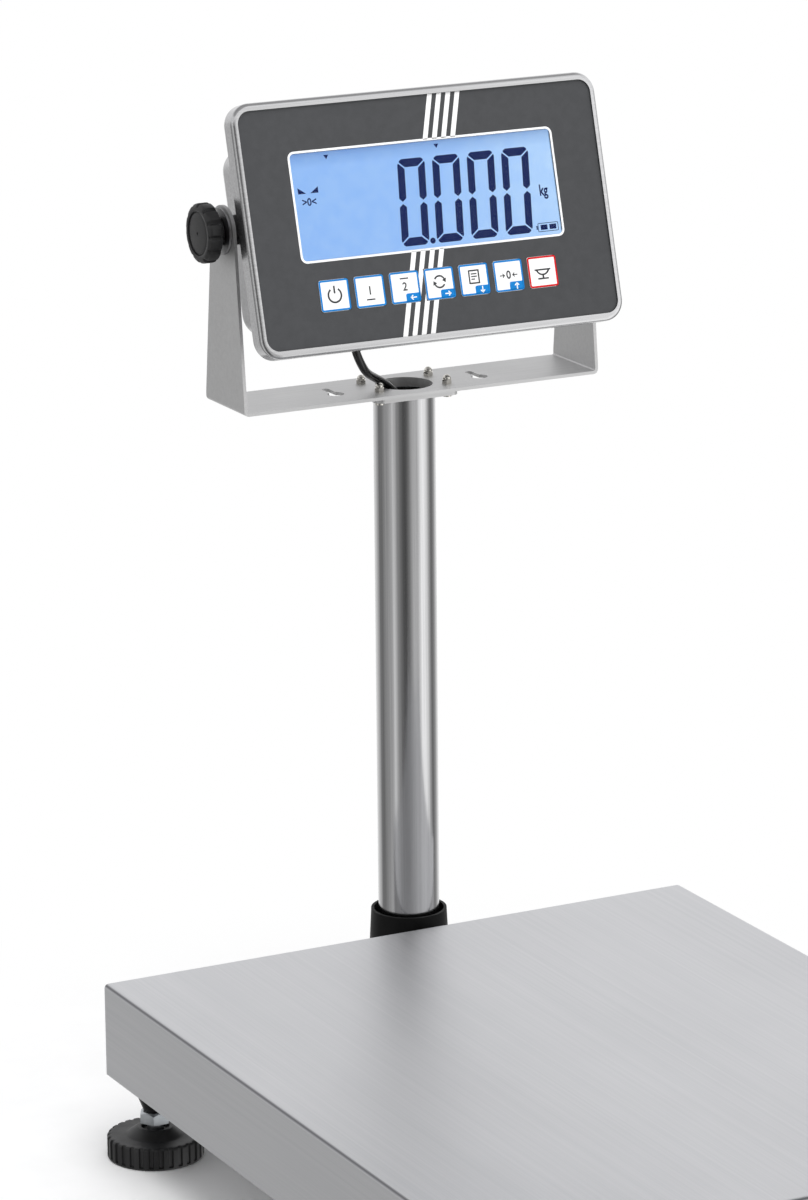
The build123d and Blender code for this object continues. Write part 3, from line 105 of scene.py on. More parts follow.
class BenchScaleKeys(bpy.types.PropertyGroup):
    pitch: length("Key pitch", "From key to key", 23.32)
    row: length("Key row", "Height of the keys' middles from the tilt axis", -47.05)
    front: length("Key front", "From the tilt axis out to the key caps' front", 36.9)
    width: length("Key width", "Width of a key cap", 19.4)
    height: length("Key height", "Height of a key cap", 18.6)
    corner: length("Key corner", "Corner radius of a key cap", 1.5)
    frame_width: length("Frame width", "Width of the coloured line round a key", 1.05)
    tab_width: length("Tab width", "Width of the arrow tab in a key's corner", 9.6)
    tab_height: length("Tab height", "Height of the arrow tab in a key's corner", 5.3)


class BenchScaleReadout(bpy.types.PropertyGroup):
    depth: length("Segment depth", "From the tilt axis out to the display glass", 35.1)
    first: length("First digit", "Across to the first digit's middle", -9.5)
    pitch: length("Digit pitch", "From digit to digit", 23.4)
    top: length("Digit top", "Height of the digits' top edge from the tilt axis", 29.1)
    height: length("Digit height", "Height of a digit", 52.1)
    lean: bpy.props.FloatProperty(
        name="Digit lean", description="Sideways shift of a digit for each unit of height", default=0.08
    )


class BenchScaleFeet(bpy.types.PropertyGroup):
    ribs: bpy.props.IntProperty(name="Ribs", description="Ribs round a foot pad", default=30)
    groove: length("Groove depth", "Depth of the grooves between the ribs", 1.2)


class BenchScaleKnobs(bpy.types.PropertyGroup):
    grooves: bpy.props.IntProperty(name="Grooves", description="Finger grooves round a knob", default=12)
    groove: length("Groove depth", "Depth of a finger groove", 1.5)
    thread: length("Thread pitch", "Pitch of the knob's stud", 1.25)


class BenchScaleStudio(bpy.types.PropertyGroup):
    place: bpy.props.FloatVectorProperty(
        name="Camera", description="Where the camera stands, from the column's foot",
        default=(-1.4334, -2.8102, 1.1632), subtype="XYZ",
    )
    heading: bpy.props.FloatProperty(
        name="Heading", description="Turn of the camera from straight back to the right",
        default=radians(27.002), subtype="ANGLE",
    )
    down: bpy.props.FloatProperty(
        name="Down", description="How far the camera looks down", default=radians(15.159), subtype="ANGLE"
    )
    roll: bpy.props.FloatProperty(
        name="Roll", description="Roll of the camera", default=radians(-0.545), subtype="ANGLE"
    )
    lens: bpy.props.FloatProperty(name="Lens", description="Focal length in millimetres", default=159.37)


GROUPS = {
    "scale_face": BenchScaleFace,
    "scale_keys": BenchScaleKeys,
    "scale_readout": BenchScaleReadout,
    "scale_feet": BenchScaleFeet,
    "scale_knobs": BenchScaleKnobs,
    "scale_studio": BenchScaleStudio,
}


def head_frame(face):
    """The head's own frame: X across, Y up the face, Z out of it, from the tilt axis."""
    pivot = (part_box("knob_washer")[0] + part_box("pivot_washer")[1]) / 2
    lean = face.tilt
    turn = Matrix(((1, 0, 0), (0, sin(lean), -cos(lean)), (0, cos(lean), sin(lean))))
    return Matrix.Translation(pivot) @ turn.to_4x4()


# ------------------------------------------------------------------- modelling
def primitive(kind, name, **settings):
    """Add a mesh primitive with nothing else selected."""
    bpy.ops.object.select_all(action="DESELECT")
    getattr(bpy.ops.mesh, f"primitive_{kind}_add")(**settings)
    piece = bpy.context.object
    piece.name = name
    piece.data.name = name
    return piece


def only(piece):
    """Make one piece the whole selection."""
    bpy.ops.object.select_all(action="DESELECT")
    piece.select_set(True)
    bpy.context.view_layer.objects.active = piece


def choose(piece, test):
    """In edit mode, select the vertices that pass a test of their place."""
    bpy.ops.mesh.select_all(action="DESELECT")
    mesh = bmesh.from_edit_mesh(piece.data)
    for vertex in mesh.verts:
        vertex.select_set(test(vertex.co))
    mesh.select_flush(True)
    bmesh.update_edit_mesh(piece.data)


def turned(name, outline, columns):
    """Turn a closed piece about Z: a disc whose top is extruded and resized ring by ring."""
    radius, height = outline[0]
    piece = primitive(
        "circle", name, vertices=columns, radius=radius, fill_type="NGON", location=(0, 0, height)
    )
    bpy.ops.object.transform_apply(location=True, rotation=False, scale=False)
    bpy.ops.object.mode_set(mode="EDIT")
    bpy.ops.mesh.select_all(action="SELECT")
    for next_radius, next_height in outline[1:]:
        bpy.ops.mesh.extrude_region_move(
            TRANSFORM_OT_translate={"value": (0, 0, next_height - height)}
        )
        ratio = next_radius / radius
        bpy.ops.transform.resize(value=(ratio, ratio, 1), center_override=(0, 0, 0))
        radius, height = next_radius, next_height
    bpy.ops.mesh.select_all(action="SELECT")
    bpy.ops.mesh.normals_make_consistent(inside=False)
    bpy.ops.object.mode_set(mode="OBJECT")
    return piece


def flute(piece, columns, count, depths, radius, low, high, least):
    """Press grooves into a turned piece; depths are for each column from a groove's middle."""
    only(piece)
    bpy.ops.object.mode_set(mode="EDIT")
    step = columns // count
    for shift, depth in depths.items():
        def in_groove(place, shift=shift):
            around = round(Vector((place.x, place.y)).angle_signed(Vector((1, 0)), 0) / (2 * pi) * columns)
            away = (around % step + step // 2) % step - step // 2
            outside = Vector((place.x, place.y)).length > least
            return outside and low < place.z < high and away == shift
        choose(piece, in_groove)
        ratio = (radius - depth) / radius
        bpy.ops.transform.resize(value=(ratio, ratio, 1), center_override=(0, 0, 0))
    bpy.ops.object.mode_set(mode="OBJECT")


def flat(name, outline, low, high):
    """An outline in X and Y, filled and extruded from one height to the other."""
    piece = primitive("circle", name, vertices=len(outline), radius=1, fill_type="NGON")
    area = sum(a[0] * b[1] - b[0] * a[1] for a, b in zip(outline, outline[1:] + outline[:1]))
    ordered = outline if area > 0 else outline[::-1]
    for vertex, (x, y) in zip(piece.data.vertices, ordered):
        vertex.co = (x, y, low)
    bpy.ops.object.mode_set(mode="EDIT")
    bpy.ops.mesh.select_all(action="SELECT")
    bpy.ops.mesh.extrude_region_move(TRANSFORM_OT_translate={"value": (0, 0, high - low)})
    bpy.ops.mesh.select_all(action="SELECT")
    bpy.ops.mesh.normals_make_consistent(inside=False)
    bpy.ops.object.mode_set(mode="OBJECT")
    return piece


def ring(name, width, height, corner, wall, x, y, low, high):
    """A rounded rectangular frame: a plane with bevelled corners, inset, opened and extruded."""
    piece = primitive("plane", name, size=1)
    piece.scale = (width, height, 1)
    piece.location = (x, y, low)
    bpy.ops.object.transform_apply(location=True, rotation=False, scale=True)
    bpy.ops.object.mode_set(mode="EDIT")
    bpy.ops.mesh.select_all(action="SELECT")
    bpy.ops.mesh.bevel(offset=corner, segments=6, affect="VERTICES")
    bpy.ops.mesh.select_all(action="SELECT")
    bpy.ops.mesh.inset(thickness=wall)
    bpy.ops.mesh.delete(type="FACE")
    bpy.ops.mesh.select_all(action="SELECT")
    bpy.ops.mesh.extrude_region_move(TRANSFORM_OT_translate={"value": (0, 0, high - low)})
    bpy.ops.mesh.select_all(action="SELECT")
    bpy.ops.mesh.normals_make_consistent(inside=False)
    bpy.ops.object.mode_set(mode="OBJECT")
    return piece


def lettering(name, body, size, x, y, low, high, narrow=1.0, weight=0.0):
    """Figures or a unit, centred on a place and made a closed mesh, with strokes made thicker by weight."""
    bpy.ops.object.select_all(action="DESELECT")
    bpy.ops.object.text_add(location=(x, y, (low + high) / 2))
    piece = bpy.context.object
    piece.data.body = body
    piece.data.size = size
    piece.data.align_x = "CENTER"
    piece.data.align_y = "CENTER"
    piece.data.resolution_u = 4
    piece.data.extrude = (high - low) / 2
    piece.data.offset = weight
    piece.scale.x = narrow
    bpy.ops.object.convert(target="MESH")
    piece = bpy.context.object
    piece.name = name
    bpy.ops.object.transform_apply(location=True, rotation=True, scale=True)
    bpy.ops.object.mode_set(mode="EDIT")
    bpy.ops.mesh.select_all(action="SELECT")
    bpy.ops.mesh.remove_doubles(threshold=1e-7)
    bpy.ops.object.mode_set(mode="OBJECT")
    return piece


def arc(x, y, radius, start, end, steps):
    """Points along an arc, with its angles in degrees."""
    turns = [radians(start + (end - start) * step / steps) for step in range(steps + 1)]
    return [(x + radius * cos(turn), y + radius * sin(turn)) for turn in turns]


def band(x, y, inner, outer, start, end, steps=24):
    """The outline of an arc-shaped band."""
    return arc(x, y, outer, start, end, steps) + arc(x, y, inner, start, end, steps)[::-1]


def box_outline(x, y, width, height):
    """The outline of a rectangle about its middle."""
    a, b = width / 2, height / 2
    return [(x - a, y - b), (x + a, y - b), (x + a, y + b), (x - a, y + b)]


def arrow(x, y, turn, size):
    """Three outlines that make an arrow centred on a place, turned in degrees."""
    half, stroke = size / 2, size * 0.08
    shaft = [(-half, -stroke), (half * 0.85, -stroke), (half * 0.85, stroke), (-half, stroke)]
    barb = [
        (half, 0), (half - size * 0.38, size * 0.38),
        (half - size * 0.5, size * 0.28), (half - size * 0.22, 0),
    ]
    outlines = [shaft, barb, [(px, -py) for px, py in barb]]
    c, s = cos(radians(turn)), sin(radians(turn))
    return [[(x + px * c - py * s, y + px * s + py * c) for px, py in outline] for outline in outlines]


def joined(name, pieces):
    """Join pieces into one object with one mesh."""
    bpy.ops.object.select_all(action="DESELECT")
    for piece in pieces:
        piece.select_set(True)
    bpy.context.view_layer.objects.active = pieces[0]
    if len(pieces) > 1:
        bpy.ops.object.join()
    whole = bpy.context.object
    whole.name = name
    whole.data.name = name
    return whole


def copied(piece, name):
    """A copy of a piece with a mesh of its own."""
    copy = piece.copy()
    copy.data = piece.data.copy()
    copy.name = name
    copy.data.name = name
    bpy.context.scene.collection.objects.link(copy)
    return copy


def settle(piece, place, material, body, replaces=(), angle=35):
    """Bring a finished piece to its place, in its mesh, and let it ride on its body."""
    only(piece)
    piece.matrix_world = place @ piece.matrix_world
    bpy.context.view_layer.update()
    bpy.ops.object.transform_apply(location=True, rotation=True, scale=True)
    bpy.ops.object.shade_smooth_by_angle(angle=radians(angle))
    piece.data.materials.clear()
    piece.data.materials.append(bpy.data.materials[material])
    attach(piece, body)
    if replaces:
        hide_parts(*replaces)
    return piece


# -------------------------------------------------------------------- finishes
def add(material, kind, settings=(), links=()):
    """Add a node, set its properties or input values by name, and link outputs into its inputs."""
    node = material.node_tree.nodes.new(kind)
    for name, value in dict(settings).items():
        if isinstance(name, str) and hasattr(node, name):
            setattr(node, name, value)
        else:
            node.inputs[name].default_value = value
    for name, output in dict(links).items():
        material.node_tree.links.new(output, node.inputs[name])
    return node


def finish(name, values):
    """A new material with one Principled shader, whose plain values are set on its own sockets."""
    material = bpy.data.materials.new(name)
    material.use_nodes = True
    shader = material.node_tree.nodes["Principled BSDF"]
    for socket, value in values.items():
        shader.inputs[socket].default_value = value
    return material, shader


def link(material, output, shader, socket):
    material.node_tree.links.new(output, shader.inputs[socket])


def stretched(material, size, detail=3.0, distortion=0.0):
    """Noise on the object's own coordinates, whose cells measure size in millimetres."""
    place = add(material, "ShaderNodeTexCoord")
    scale = tuple(1 / (side * MM) for side in size)
    mapping = add(material, "ShaderNodeMapping", {"Scale": scale}, {"Vector": place.outputs["Object"]})
    return add(
        material,
        "ShaderNodeTexNoise",
        {"Scale": 1.0, "Detail": detail, "Roughness": 0.6, "Distortion": distortion},
        {"Vector": mapping.outputs["Vector"]},
    )


def ramp(material, output, stops):
    """A colour ramp whose stops are given as place and colour."""
    node = add(material, "ShaderNodeValToRGB", {}, {"Fac": output})
    elements = node.color_ramp.elements
    while len(elements) < len(stops):
        elements.new(0.5)
    for element, (place, shade) in zip(elements, stops):
        element.position = place
        element.color = shade
    return node


def spread(material, output, low, high, start=0.3, end=0.7):
    """Map a value between start and end onto low and high; the middle of a noise unless told otherwise."""
    return add(
        material,
        "ShaderNodeMapRange",
        {"From Min": start, "From Max": end, "To Min": low, "To Max": high},
        {"Value": output},
    )


def calc(material, operation, first, second):
    """Work on two values, each a plain number or another node's output, and return the result's output."""
    node = add(material, "ShaderNodeMath", {"operation": operation})
    for socket, value in zip(node.inputs, (first, second)):
        if isinstance(value, float):
            socket.default_value = value
        else:
            material.node_tree.links.new(value, socket)
    return node.outputs[0]


def end_grain(material, along, down):
    """Take one value on most faces and the other on those that face forwards or back."""
    place = add(material, "ShaderNodeTexCoord")
    facing = add(material, "ShaderNodeSeparateXYZ", {}, {"Vector": place.outputs["Normal"]})
    size = add(material, "ShaderNodeMath", {"operation": "ABSOLUTE"}, {0: facing.outputs["Y"]})
    end = spread(material, size.outputs[0], 0.0, 1.0, 0.6, 0.8)
    return add(
        material, "ShaderNodeMix", {"data_type": "FLOAT"},
        {0: end.outputs["Result"], 2: along.outputs["Fac"], 3: down.outputs["Fac"]},
    )


def bend_shade_mask(material):
    """One on the rounded edges of a folded sheet, which lean between its top and its sides, where a painted
    shade darkens the colour.
    """
    place = add(material, "ShaderNodeTexCoord")
    facing = add(material, "ShaderNodeSeparateXYZ", {}, {"Vector": place.outputs["Normal"]})
    upward = facing.outputs["Z"]
    square = calc(material, "MULTIPLY", upward, upward)
    lean = calc(material, "MULTIPLY", square, calc(material, "SUBTRACT", 1.0, square))
    # The product is nought on level and upright faces and 0.25 halfway round a bend.
    return spread(material, lean, 0.0, 1.0, 0.10, 0.25)


def brushed(name, dark, light, grain, rough=(0.26, 0.36), relief=0.08, smudge=(70, 70, 70), folded=False):
    """Stainless sheet, ground with a belt: fine long streaks in its colour, gloss and relief.

    On a folded sheet the streaks turn down over the front and back edges, and a painted shade darkens each
    bend.
    """
    material, shader = finish(name, {"Metallic": 1.0})
    wide = tuple(side * 5 for side in grain)
    streaks, broad = stretched(material, grain, detail=4.0), stretched(material, wide, detail=2.0)
    fine_value, broad_value = streaks.outputs["Fac"], broad.outputs["Fac"]
    if folded:
        down = (grain[0], grain[2], grain[1])
        fine_value = end_grain(material, streaks, stretched(material, down, detail=4.0)).outputs[0]
        wide_down = tuple(side * 5 for side in down)
        broad_value = end_grain(material, broad, stretched(material, wide_down, detail=2.0)).outputs[0]
    half = calc(material, "MULTIPLY", calc(material, "ADD", fine_value, broad_value), 0.5)
    shades = ramp(material, half, [(0.36, linear(dark)), (0.64, linear(light))])
    colour = shades.outputs["Color"]
    if folded:
        # Painted shade: a darker grey laid along each bend of the sheet.
        bend_shade = add(
            material, "ShaderNodeMix", {"data_type": "RGBA", 7: linear("#77777A")},
            {0: bend_shade_mask(material).outputs["Result"], 6: colour},
        )
        colour = bend_shade.outputs[2]
    link(material, colour, shader, "Base Color")
    hands = stretched(material, smudge, detail=3.0)
    gloss = calc(material, "ADD", half, hands.outputs["Fac"])
    roughness = spread(material, gloss, rough[0], rough[1], 0.75, 1.25)
    link(material, roughness.outputs["Result"], shader, "Roughness")
    bump = add(
        material,
        "ShaderNodeBump",
        {"Strength": relief, "Distance": 0.05 * MM},
        {"Height": fine_value},
    )
    link(material, bump.outputs["Normal"], shader, "Normal")
    return material


def grained(name, dark, light, grit, rough, relief, values=()):
    """A moulded, cast or coated surface: speckle in its colour, gloss and relief, grit in millimetres."""
    material, shader = finish(name, dict(values))
    speckle = stretched(material, (grit, grit, grit), detail=3.0)
    patches = stretched(material, (grit * 25, grit * 25, grit * 25), detail=3.0)
    shades = ramp(material, patches.outputs["Fac"], [(0.35, linear(dark)), (0.65, linear(light))])
    link(material, shades.outputs["Color"], shader, "Base Color")
    mixed = calc(material, "ADD", speckle.outputs["Fac"], patches.outputs["Fac"])
    roughness = spread(material, mixed, rough[0], rough[1], 0.75, 1.25)
    link(material, roughness.outputs["Result"], shader, "Roughness")
    bump = add(
        material,
        "ShaderNodeBump",
        {"Strength": relief, "Distance": 0.1 * MM},
        {"Height": speckle.outputs["Fac"]},
    )
    link(material, bump.outputs["Normal"], shader, "Normal")
    return material


def lit_glass():
    """The display's glass with the light behind it: blue that is paler to the right, with a painted shadow
    darkening it at the top.
    """
    material, shader = finish(
        "backlit_display_glass", {"Base Color": linear("#0C1420"), "IOR": 1.52, "Emission Strength": 0.96}
    )
    low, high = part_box("lcd_glass")
    place = add(material, "ShaderNodeTexCoord")
    parts = add(material, "ShaderNodeSeparateXYZ", {}, {"Vector": place.outputs["Object"]})
    across = spread(material, parts.outputs["X"], 0.0, 1.0, low.x, high.x)
    up = spread(material, parts.outputs["Z"], 0.0, 1.0, low.z, high.z)
    tint = ramp(
        material,
        across.outputs["Result"],
        [(0.0, linear("#8FBBF4")), (0.45, linear("#93BEF5")), (1.0, linear("#AFD3FB"))],
    )
    # Painted shadow: the glow is dimmed towards the top edge.
    shade = ramp(
        material,
        up.outputs["Result"],
        [(0.0, (1, 1, 1, 1)), (0.86, (1, 1, 1, 1)), (0.95, linear("#E4E8EE")), (1.0, linear("#C3CBD8"))],
    )
    # The backlight's blue, multiplied by the painted shadow at the top.
    lamp = add(
        material,
        "ShaderNodeMix",
        {"data_type": "RGBA", "blend_type": "MULTIPLY", "Factor": 1.0},
        {6: tint.outputs["Color"], 7: shade.outputs["Color"]},
    )
    link(material, lamp.outputs[2], shader, "Emission Color")
    cells = stretched(material, (0.4, 0.4, 0.4), detail=1.0)
    roughness = spread(material, cells.outputs["Fac"], 0.18, 0.24)
    link(material, roughness.outputs["Result"], shader, "Roughness")
    return material


def board_green():
    """Glass-fibre board under green solder resist, with copper tracks showing through."""
    material, shader = finish("circuit_board_resist", {"Roughness": 0.42, "IOR": 1.5})
    place = add(material, "ShaderNodeTexCoord")
    track = add(
        material,
        "ShaderNodeTexBrick",
        {
            "Scale": 1 / (6.0 * MM),
            "Mortar Size": 0.05,
            "Color1": linear("#12502F"),
            "Color2": linear("#0F4629"),
            "Mortar": linear("#2C7A4A"),
        },
        {"Vector": place.outputs["Object"]},
    )
    link(material, track.outputs["Color"], shader, "Base Color")
    bump = add(
        material,
        "ShaderNodeBump",
        {"Strength": 0.2, "Distance": 0.1 * MM},
        {"Height": track.outputs["Fac"]},
    )
    link(material, bump.outputs["Normal"], shader, "Normal")
    return material


def make_finishes():
    """Every material of the scale. The metals keep their default index of refraction."""
    # Stainless sheet ground along its length: 0.5 mm streaks, drawn wider than a real belt leaves.
    # Each bend of the pan gets a painted shade.
    brushed(
        "ground_stainless_pan", "#D2D3D5", "#DBDBDD", (0.5, 160, 0.5), (0.40, 0.45), 0.02,
        smudge=(90, 160, 90), folded=True,
    )
    brushed("ground_stainless_head", "#BEBEBF", "#D2D2D3", (60, 0.35, 0.35), (0.16, 0.24), 0.03)
    # Ground and polished tube: streaks round it are too fine to see, and long ones follow its length.
    brushed("polished_stainless_tube", "#B9B9BA", "#CFCFD0", (1.2, 1.2, 160), (0.13, 0.18), 0.03)
    # Cold-rolled stainless strip, rubbed with a fibre pad: an even satin with a faint grain.
    brushed("satin_stainless_bracket", "#D0D0D0", "#DADADA", (30, 0.5, 0.5), (0.48, 0.58), 0.04)
    brushed("turned_stainless_washer", "#9C9C9D", "#B9B9BA", (0.5, 4, 4), (0.26, 0.34), 0.06)
    # Zinc plate: cool grey, with crystals of about a millimetre.
    grained("zinc_plated_steel", "#9FA4A8", "#C4C8CB", 0.6, (0.28, 0.42), 0.12, {"Metallic": 1.0})
    # Bright nickel plate over turned brass: warm and mirror-like.
    grained("bright_nickel_plate", "#D0CDC6", "#E2DFD8", 0.5, (0.10, 0.18), 0.05, {"Metallic": 1.0})
    # Clear anodised aluminium: pale and even, with the mill's fine texture.
    grained("anodised_aluminium", "#BFC1C4", "#D0D2D5", 0.4, (0.34, 0.44), 0.08, {"Metallic": 1.0})
    # Glass-filled nylon, spark-eroded mould: near-black with a fine 0.3 mm grain.
    grained("moulded_black_nylon", "#0F0F10", "#19191A", 0.35, (0.42, 0.55), 0.22, {"IOR": 1.53})
    # The same nylon, made much darker and with a duller, finer skin, on the socket round the column.
    grained("dull_black_nylon", "#040404", "#080808", 0.30, (0.50, 0.62), 0.15,
            {"IOR": 1.5, "Specular IOR Level": 0.2})
    # Powder coat: thick paint with orange peel of about a millimetre.
    grained("black_powder_coat", "#0C0C0D", "#151516", 1.1, (0.38, 0.50), 0.30, {"IOR": 1.5})
    grained("grey_powder_coat", "#5F6266", "#6C6F73", 1.1, (0.40, 0.52), 0.30, {"IOR": 1.5})
    # Nitrile rubber: matt black with talc left in its pores.
    grained("black_nitrile_rubber", "#0E0E0E", "#1B1B1A", 0.5, (0.70, 0.85), 0.25, {"IOR": 1.52})
    # Soft PVC jacket: glossy black, slightly wavy from its extrusion.
    grained("extruded_pvc_jacket", "#060606", "#0C0C0C", 1.5, (0.16, 0.26), 0.10, {"IOR": 1.53})
    # Polyester front film, reverse-printed grey, with a fine satin emboss.
    film = {"IOR": 1.5, "Specular IOR Level": 0.25}
    grained("printed_grey_film", "#424345", "#464749", 0.25, (0.36, 0.44), 0.06, film)
    grained("white_screen_ink", "#F2F2F2", "#FAFAFA", 0.25, (0.40, 0.48), 0.05, {"IOR": 1.5})
    grained("white_key_film", "#F3F3F3", "#FBFBFB", 0.25, (0.34, 0.42), 0.06, {"IOR": 1.5})
    grained("blue_screen_ink", "#0078C4", "#0080CE", 0.25, (0.38, 0.46), 0.05, film)
    grained("red_screen_ink", "#CC0008", "#D4000C", 0.25, (0.38, 0.46), 0.05, film)
    grained("grey_screen_ink", "#343537", "#3A3B3D", 0.25, (0.40, 0.48), 0.05, film)
    # Liquid crystal that is switched on: it lets a little deep blue through from behind.
    grained("dark_liquid_crystal", "#060A18", "#080C1C", 0.30, (0.40, 0.48), 0.02,
            {"IOR": 1.52, "Specular IOR Level": 0.1, "Emission Color": linear("#10225A"),
             "Emission Strength": 0.8})
    grained("white_diffuser", "#DDE8F4", "#E8F0F8", 0.5, (0.5, 0.6), 0.05, {"IOR": 1.49})
    grained("switch_black_plastic", "#141415", "#1E1E1F", 0.3, (0.45, 0.55), 0.15, {"IOR": 1.53})
    grained("battery_wrap_green", "#1E6B3A", "#26784A", 0.4, (0.30, 0.40), 0.08, {"IOR": 1.5})
    # Clear polyester window, hard-coated. Its index of refraction is set far below the real film's 1.6,
    # so that the pale studio doesn't veil the display.
    grained(
        "clear_window_film", "#F7FAFF", "#FFFFFF", 0.4, (0.03, 0.06), 0.01,
        {"IOR": 1.12, "Transmission Weight": 1.0, "Specular IOR Level": 0.1},
    )
    lit_glass()
    board_green()


SLOT_FINISHES = {
    "brushed_stainless": "ground_stainless_pan",
    "bracket_steel": "satin_stainless_bracket",
    "column_steel": "polished_stainless_tube",
    "black_plastic": "moulded_black_nylon",
    "black_lacquer": "black_powder_coat",
    "grey_lacquer": "grey_powder_coat",
    "cell_aluminium": "anodised_aluminium",
    "zinc_steel": "zinc_plated_steel",
    "nickel": "bright_nickel_plate",
    "rubber": "black_nitrile_rubber",
    "cable_jacket": "extruded_pvc_jacket",
    "overlay_film": "printed_grey_film",
    "window_film": "clear_window_film",
    "lcd": "backlit_display_glass",
    "backlight_panel": "white_diffuser",
    "circuit_board": "circuit_board_resist",
    "switch_plastic": "switch_black_plastic",
    "battery_wrap": "battery_wrap_green",
    "key_blue": "white_key_film",
    "key_red": "white_key_film",
}
NODE_FINISHES = {
    "front_shell": "ground_stainless_head",
    "rear_shell": "ground_stainless_head",
    "knob_washer": "turned_stainless_washer",
    "pivot_washer": "turned_stainless_washer",
    "column_socket": "dull_black_nylon",
}


class SCALE_OT_finishes(bpy.types.Operator):
    """Make the materials and give each CAD piece its own"""

    bl_idname = "scale.finishes"
    bl_label = "Finishes"

    def execute(self, context):
        make_finishes()
        slots = {part["node"]: part["material_slot"] for part in frame["record"]["subparts"]}
        for name, node in frame["nodes"].items():
            material = bpy.data.materials[NODE_FINISHES.get(name, SLOT_FINISHES[slots[name]])]
            if not node.material_slots:
                node.data.materials.append(material)
            for material_slot in node.material_slots:
                material_slot.material = material
        return {"FINISHED"}


# ---------------------------------------------------------------------- pieces
class SCALE_OT_feet(bpy.types.Operator):
    """Model the ribbed foot pads"""

    bl_idname = "scale.feet"
    bl_label = "Foot pads"

    def execute(self, context):
        feet = context.scene.scale_feet
        low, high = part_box("foot_pad_1")
        radius = (high.x - low.x) / 2
        top = high.z
        rim = top - 5.0 * MM
        outline = [
            (radius - 0.9 * MM, 0), (radius - 0.2 * MM, 0.25 * MM), (radius, 0.8 * MM), (radius, 1.3 * MM),
            (radius, 1.4 * MM), (radius, rim - 1.3 * MM), (radius - 0.25 * MM, rim - 0.6 * MM),
            (radius - 0.8 * MM, rim - 0.12 * MM), (radius - 1.5 * MM, rim), (radius - 3.4 * MM, rim),
            (18.6 * MM, rim - 0.05 * MM), (17.6 * MM, rim + 0.15 * MM), (16.8 * MM, rim + 0.55 * MM),
            (11.4 * MM, top - 0.35 * MM), (10.9 * MM, top - 0.1 * MM), (10.3 * MM, top),
            (9.0 * MM, top), (8.6 * MM, top - 0.2 * MM), (8.5 * MM, top - 0.6 * MM),
            (8.4 * MM, top - 2.5 * MM), (5.2 * MM, top - 2.5 * MM), (5.2 * MM, 5.05 * MM),
        ]
        columns = feet.ribs * 12
        pad = turned("foot_pad_model", outline, columns)
        depths = {step: feet.groove * share for step, share in enumerate((0.9, 1, 1, 1, 0.9), -2)}
        flute(pad, columns, feet.ribs, depths, radius, 1.35 * MM, rim + 0.01 * MM, radius - 1.6 * MM)
        for number in (1, 2, 3, 4):
            name = f"foot_pad_{number}"
            low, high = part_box(name)
            place = Matrix.Translation(((low.x + high.x) / 2, (low.y + high.y) / 2, 0))
            foot = copied(pad, f"ribbed_foot_{number}")
            settle(foot, place, "moulded_black_nylon", name, [name])
        bpy.data.objects.remove(pad)
        return {"FINISHED"}


class SCALE_OT_knobs(bpy.types.Operator):
    """Model the clamping knob with its stud"""

    bl_idname = "scale.knobs"
    bl_label = "Knob"

    def execute(self, context):
        knobs = context.scene.scale_knobs
        low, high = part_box("knob_left")
        radius = (high.z - low.z) / 2
        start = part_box("knob_washer")[0].x - 0.3 * MM
        reach = start - low.x
        outline = [(radius - rim * MM, reach - back * MM) for rim, back in (
            (9.8, 14.2), (9.35, 13.8), (9.35, 9.7), (9.0, 9.2), (8.4, 9.0), (1.8, 9.0), (0.7, 8.7),
            (0.15, 8.1), (0.0, 7.4), (0.0, 2.6), (0.15, 1.7), (0.6, 0.95), (1.3, 0.4), (2.2, 0.1),
            (3.0, 0.0), (4.5, 0.0), (4.7, 0.12), (4.8, 1.0), (5.4, 1.0), (5.5, 0.75), (5.9, 0.5),
            (7.4, 0.33), (10.5, 0.14), (14.5, 0.03), (16.9, 0.0), (17.05, 0.15), (17.2, 0.6),
        )]
        columns = knobs.grooves * 16
        cap = turned("knob_cap", outline, columns)
        depths = {step: knobs.groove * share for step, share in enumerate((0.35, 0.85, 1, 0.85, 0.35), -2)}
        groove_low, groove_high = reach - 8.8 * MM, reach - 0.3 * MM
        flute(cap, columns, knobs.grooves, depths, radius, groove_low, groove_high, radius - 1.5 * MM)
        stud_radius = 4.0 * MM
        stud_length = high.x - start - 0.2 * MM
        threads = int(stud_length / knobs.thread)
        rings = [(stud_radius - 1.0 * MM, -stud_length)]
        for turn in range(threads):
            at = -stud_length + 0.6 * MM + turn * knobs.thread
            rings += [(stud_radius - 0.55 * MM, at), (stud_radius, at + 0.45 * knobs.thread),
                      (stud_radius, at + 0.6 * knobs.thread)]
        rings += [(stud_radius - 0.3 * MM, 0.3 * MM)]
        stud = turned("knob_stud", rings, 32)
        at = Matrix.Translation((start, (low.y + high.y) / 2, (low.z + high.z) / 2))
        at = at @ Matrix.Rotation(-pi / 2, 4, "Y")
        settle(cap, at, "moulded_black_nylon", "knob_left", ["knob_left"])
        settle(stud, at, "zinc_plated_steel", "knob_left", ["knob_left"])
        return {"FINISHED"}


